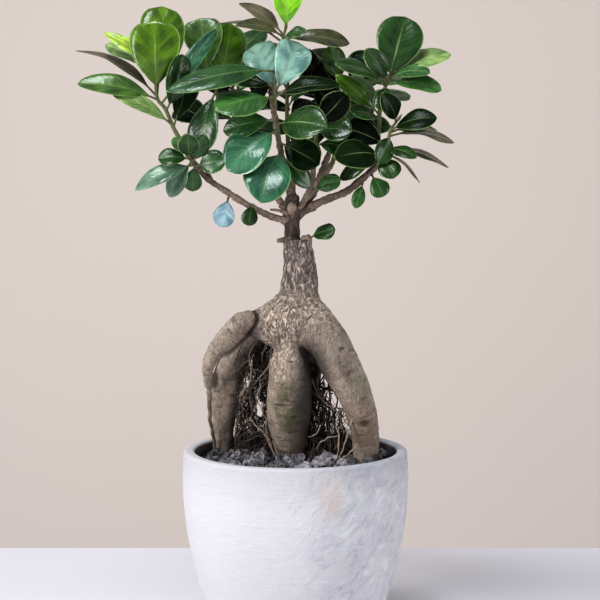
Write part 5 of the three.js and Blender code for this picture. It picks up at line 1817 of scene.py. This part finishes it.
def length_property(name, description, default, least, greatest):
    """A length in metres."""
    return bpy.props.FloatProperty(
        name=name, description=description, default=default, min=least, max=greatest, precision=4,
        subtype="DISTANCE", unit="LENGTH",
    )


class FicusSettings(bpy.types.PropertyGroup):
    """Sizes and colours that a user may change."""

    unevenness: length_property("Pot unevenness", "How far the cast wall wavers", 0.0009, 0, 0.003)
    stone_spacing: length_property("Stone spacing", "Least space between stones", 0.0122, 0.006, 0.03)
    smallest_stone: length_property("Smallest stone", "Radius of the smallest stones", 0.0048, 0.001, 0.01)
    largest_stone: length_property("Largest stone", "Radius of the largest stones", 0.0076, 0.001, 0.012)
    hair_share: bpy.props.FloatProperty(
        name="Hair roots", description="Share of the hair roots that are grown", default=1, min=0, max=1,
        subtype="FACTOR",
    )

    wash_colour: colour_property("Whitewash", "The pot's painted outside", (0.55, 0.545, 0.57))
    grey_colour: colour_property("Grey mottling", "Concrete through the whitewash", (0.42, 0.41, 0.48))
    gravel_colour: colour_property("Gravel", "Middle shade of the lava stones", (0.23, 0.215, 0.23))
    bark_light: colour_property("Root bark, light", "Light bark of the swollen roots", (0.325, 0.262, 0.212))
    bark_dark: colour_property("Root bark, dark", "Dark bark of the swollen roots", (0.17, 0.13, 0.1))
    branch_light: colour_property("Branch bark, light", "Light bark of the branches", (0.28, 0.205, 0.155))
    branch_dark: colour_property("Branch bark, dark", "Dark bark of the branches", (0.11, 0.075, 0.056))
    stem_colour: colour_property("Young stems", "Green wood of the leafy stems", (0.1, 0.14, 0.04))
    vein_colour: colour_property("Leaf veins", "Midrib and side veins", (0.24, 0.36, 0.14))
    edge_colour: colour_property("Leaf edge", "Thin pale edge of each leaf", (0.3, 0.42, 0.14))


class FICUS_OT_pot(bpy.types.Operator):
    """Turn the whitewashed concrete pot"""

    bl_idname = "ficus.pot"
    bl_label = "Pot"

    def execute(self, context):
        make_pot(context.scene.ficus)
        return {"FINISHED"}


class FICUS_OT_soil(bpy.types.Operator):
    """Fill the pot with crumbly soil"""

    bl_idname = "ficus.soil"
    bl_label = "Soil"

    def execute(self, context):
        make_soil(context.scene.ficus)
        return {"FINISHED"}


class FICUS_OT_gravel(bpy.types.Operator):
    """Scatter the lava stones over the soil"""

    bl_idname = "ficus.gravel"
    bl_label = "Gravel"

    def execute(self, context):
        make_gravel(context.scene.ficus)
        return {"FINISHED"}


class FICUS_OT_trunk(bpy.types.Operator):
    """Grow the hip, the swollen roots and the stock as one skin"""

    bl_idname = "ficus.trunk"
    bl_label = "Ginseng root"

    def execute(self, context):
        make_trunk(context.scene.ficus)
        return {"FINISHED"}


class FICUS_OT_branches(bpy.types.Operator):
    """Grow the bare branches and the pruned stubs"""

    bl_idname = "ficus.branches"
    bl_label = "Branches"

    def execute(self, context):
        make_branches(context.scene.ficus)
        return {"FINISHED"}


class FICUS_OT_fine_roots(bpy.types.Operator):
    """Hang the fine roots between the swollen ones"""

    bl_idname = "ficus.fine_roots"
    bl_label = "Fine roots"

    def execute(self, context):
        make_fine_roots(context.scene.ficus)
        return {"FINISHED"}


class FICUS_OT_leaves(bpy.types.Operator):
    """Grow the leafy stems with all their leaves"""

    bl_idname = "ficus.leaves"
    bl_label = "Leafy stems"

    def execute(self, context):
        make_leaves(context.scene.ficus)
        return {"FINISHED"}


class FICUS_OT_stage(bpy.types.Operator):
    """Set up the table, the backdrop, the lights and the camera"""

    bl_idname = "ficus.stage"
    bl_label = "Stage"

    def execute(self, context):
        make_stage(context.scene.ficus)
        return {"FINISHED"}


MAKERS = (
    FICUS_OT_pot, FICUS_OT_soil, FICUS_OT_gravel, FICUS_OT_trunk, FICUS_OT_branches,
    FICUS_OT_fine_roots, FICUS_OT_leaves, FICUS_OT_stage,
)


class FICUS_PT_panel(bpy.types.Panel):
    """Lists the makers of each piece"""

    bl_idname = "FICUS_PT_panel"
    bl_label = "Potted ginseng ficus"
    bl_space_type = "VIEW_3D"
    bl_region_type = "UI"
    bl_category = "Ficus"

    def draw(self, context):
        for maker in MAKERS:
            self.layout.operator(maker.bl_idname)
        for name in FicusSettings.__annotations__:
            self.layout.prop(context.scene.ficus, name)


CLASSES = (FicusSettings, *MAKERS, FICUS_PT_panel)


def register():
    for item in CLASSES:
        bpy.utils.register_class(item)
    bpy.types.Scene.ficus = bpy.props.PointerProperty(type=FicusSettings)


def unregister():
    del bpy.types.Scene.ficus
    for item in reversed(CLASSES):
        bpy.utils.unregister_class(item)


def main():
    register()
    for maker in MAKERS:
        group, name = maker.bl_idname.split(".")
        getattr(getattr(bpy.ops, group), name)()


if __name__ == "__main__":
    main()
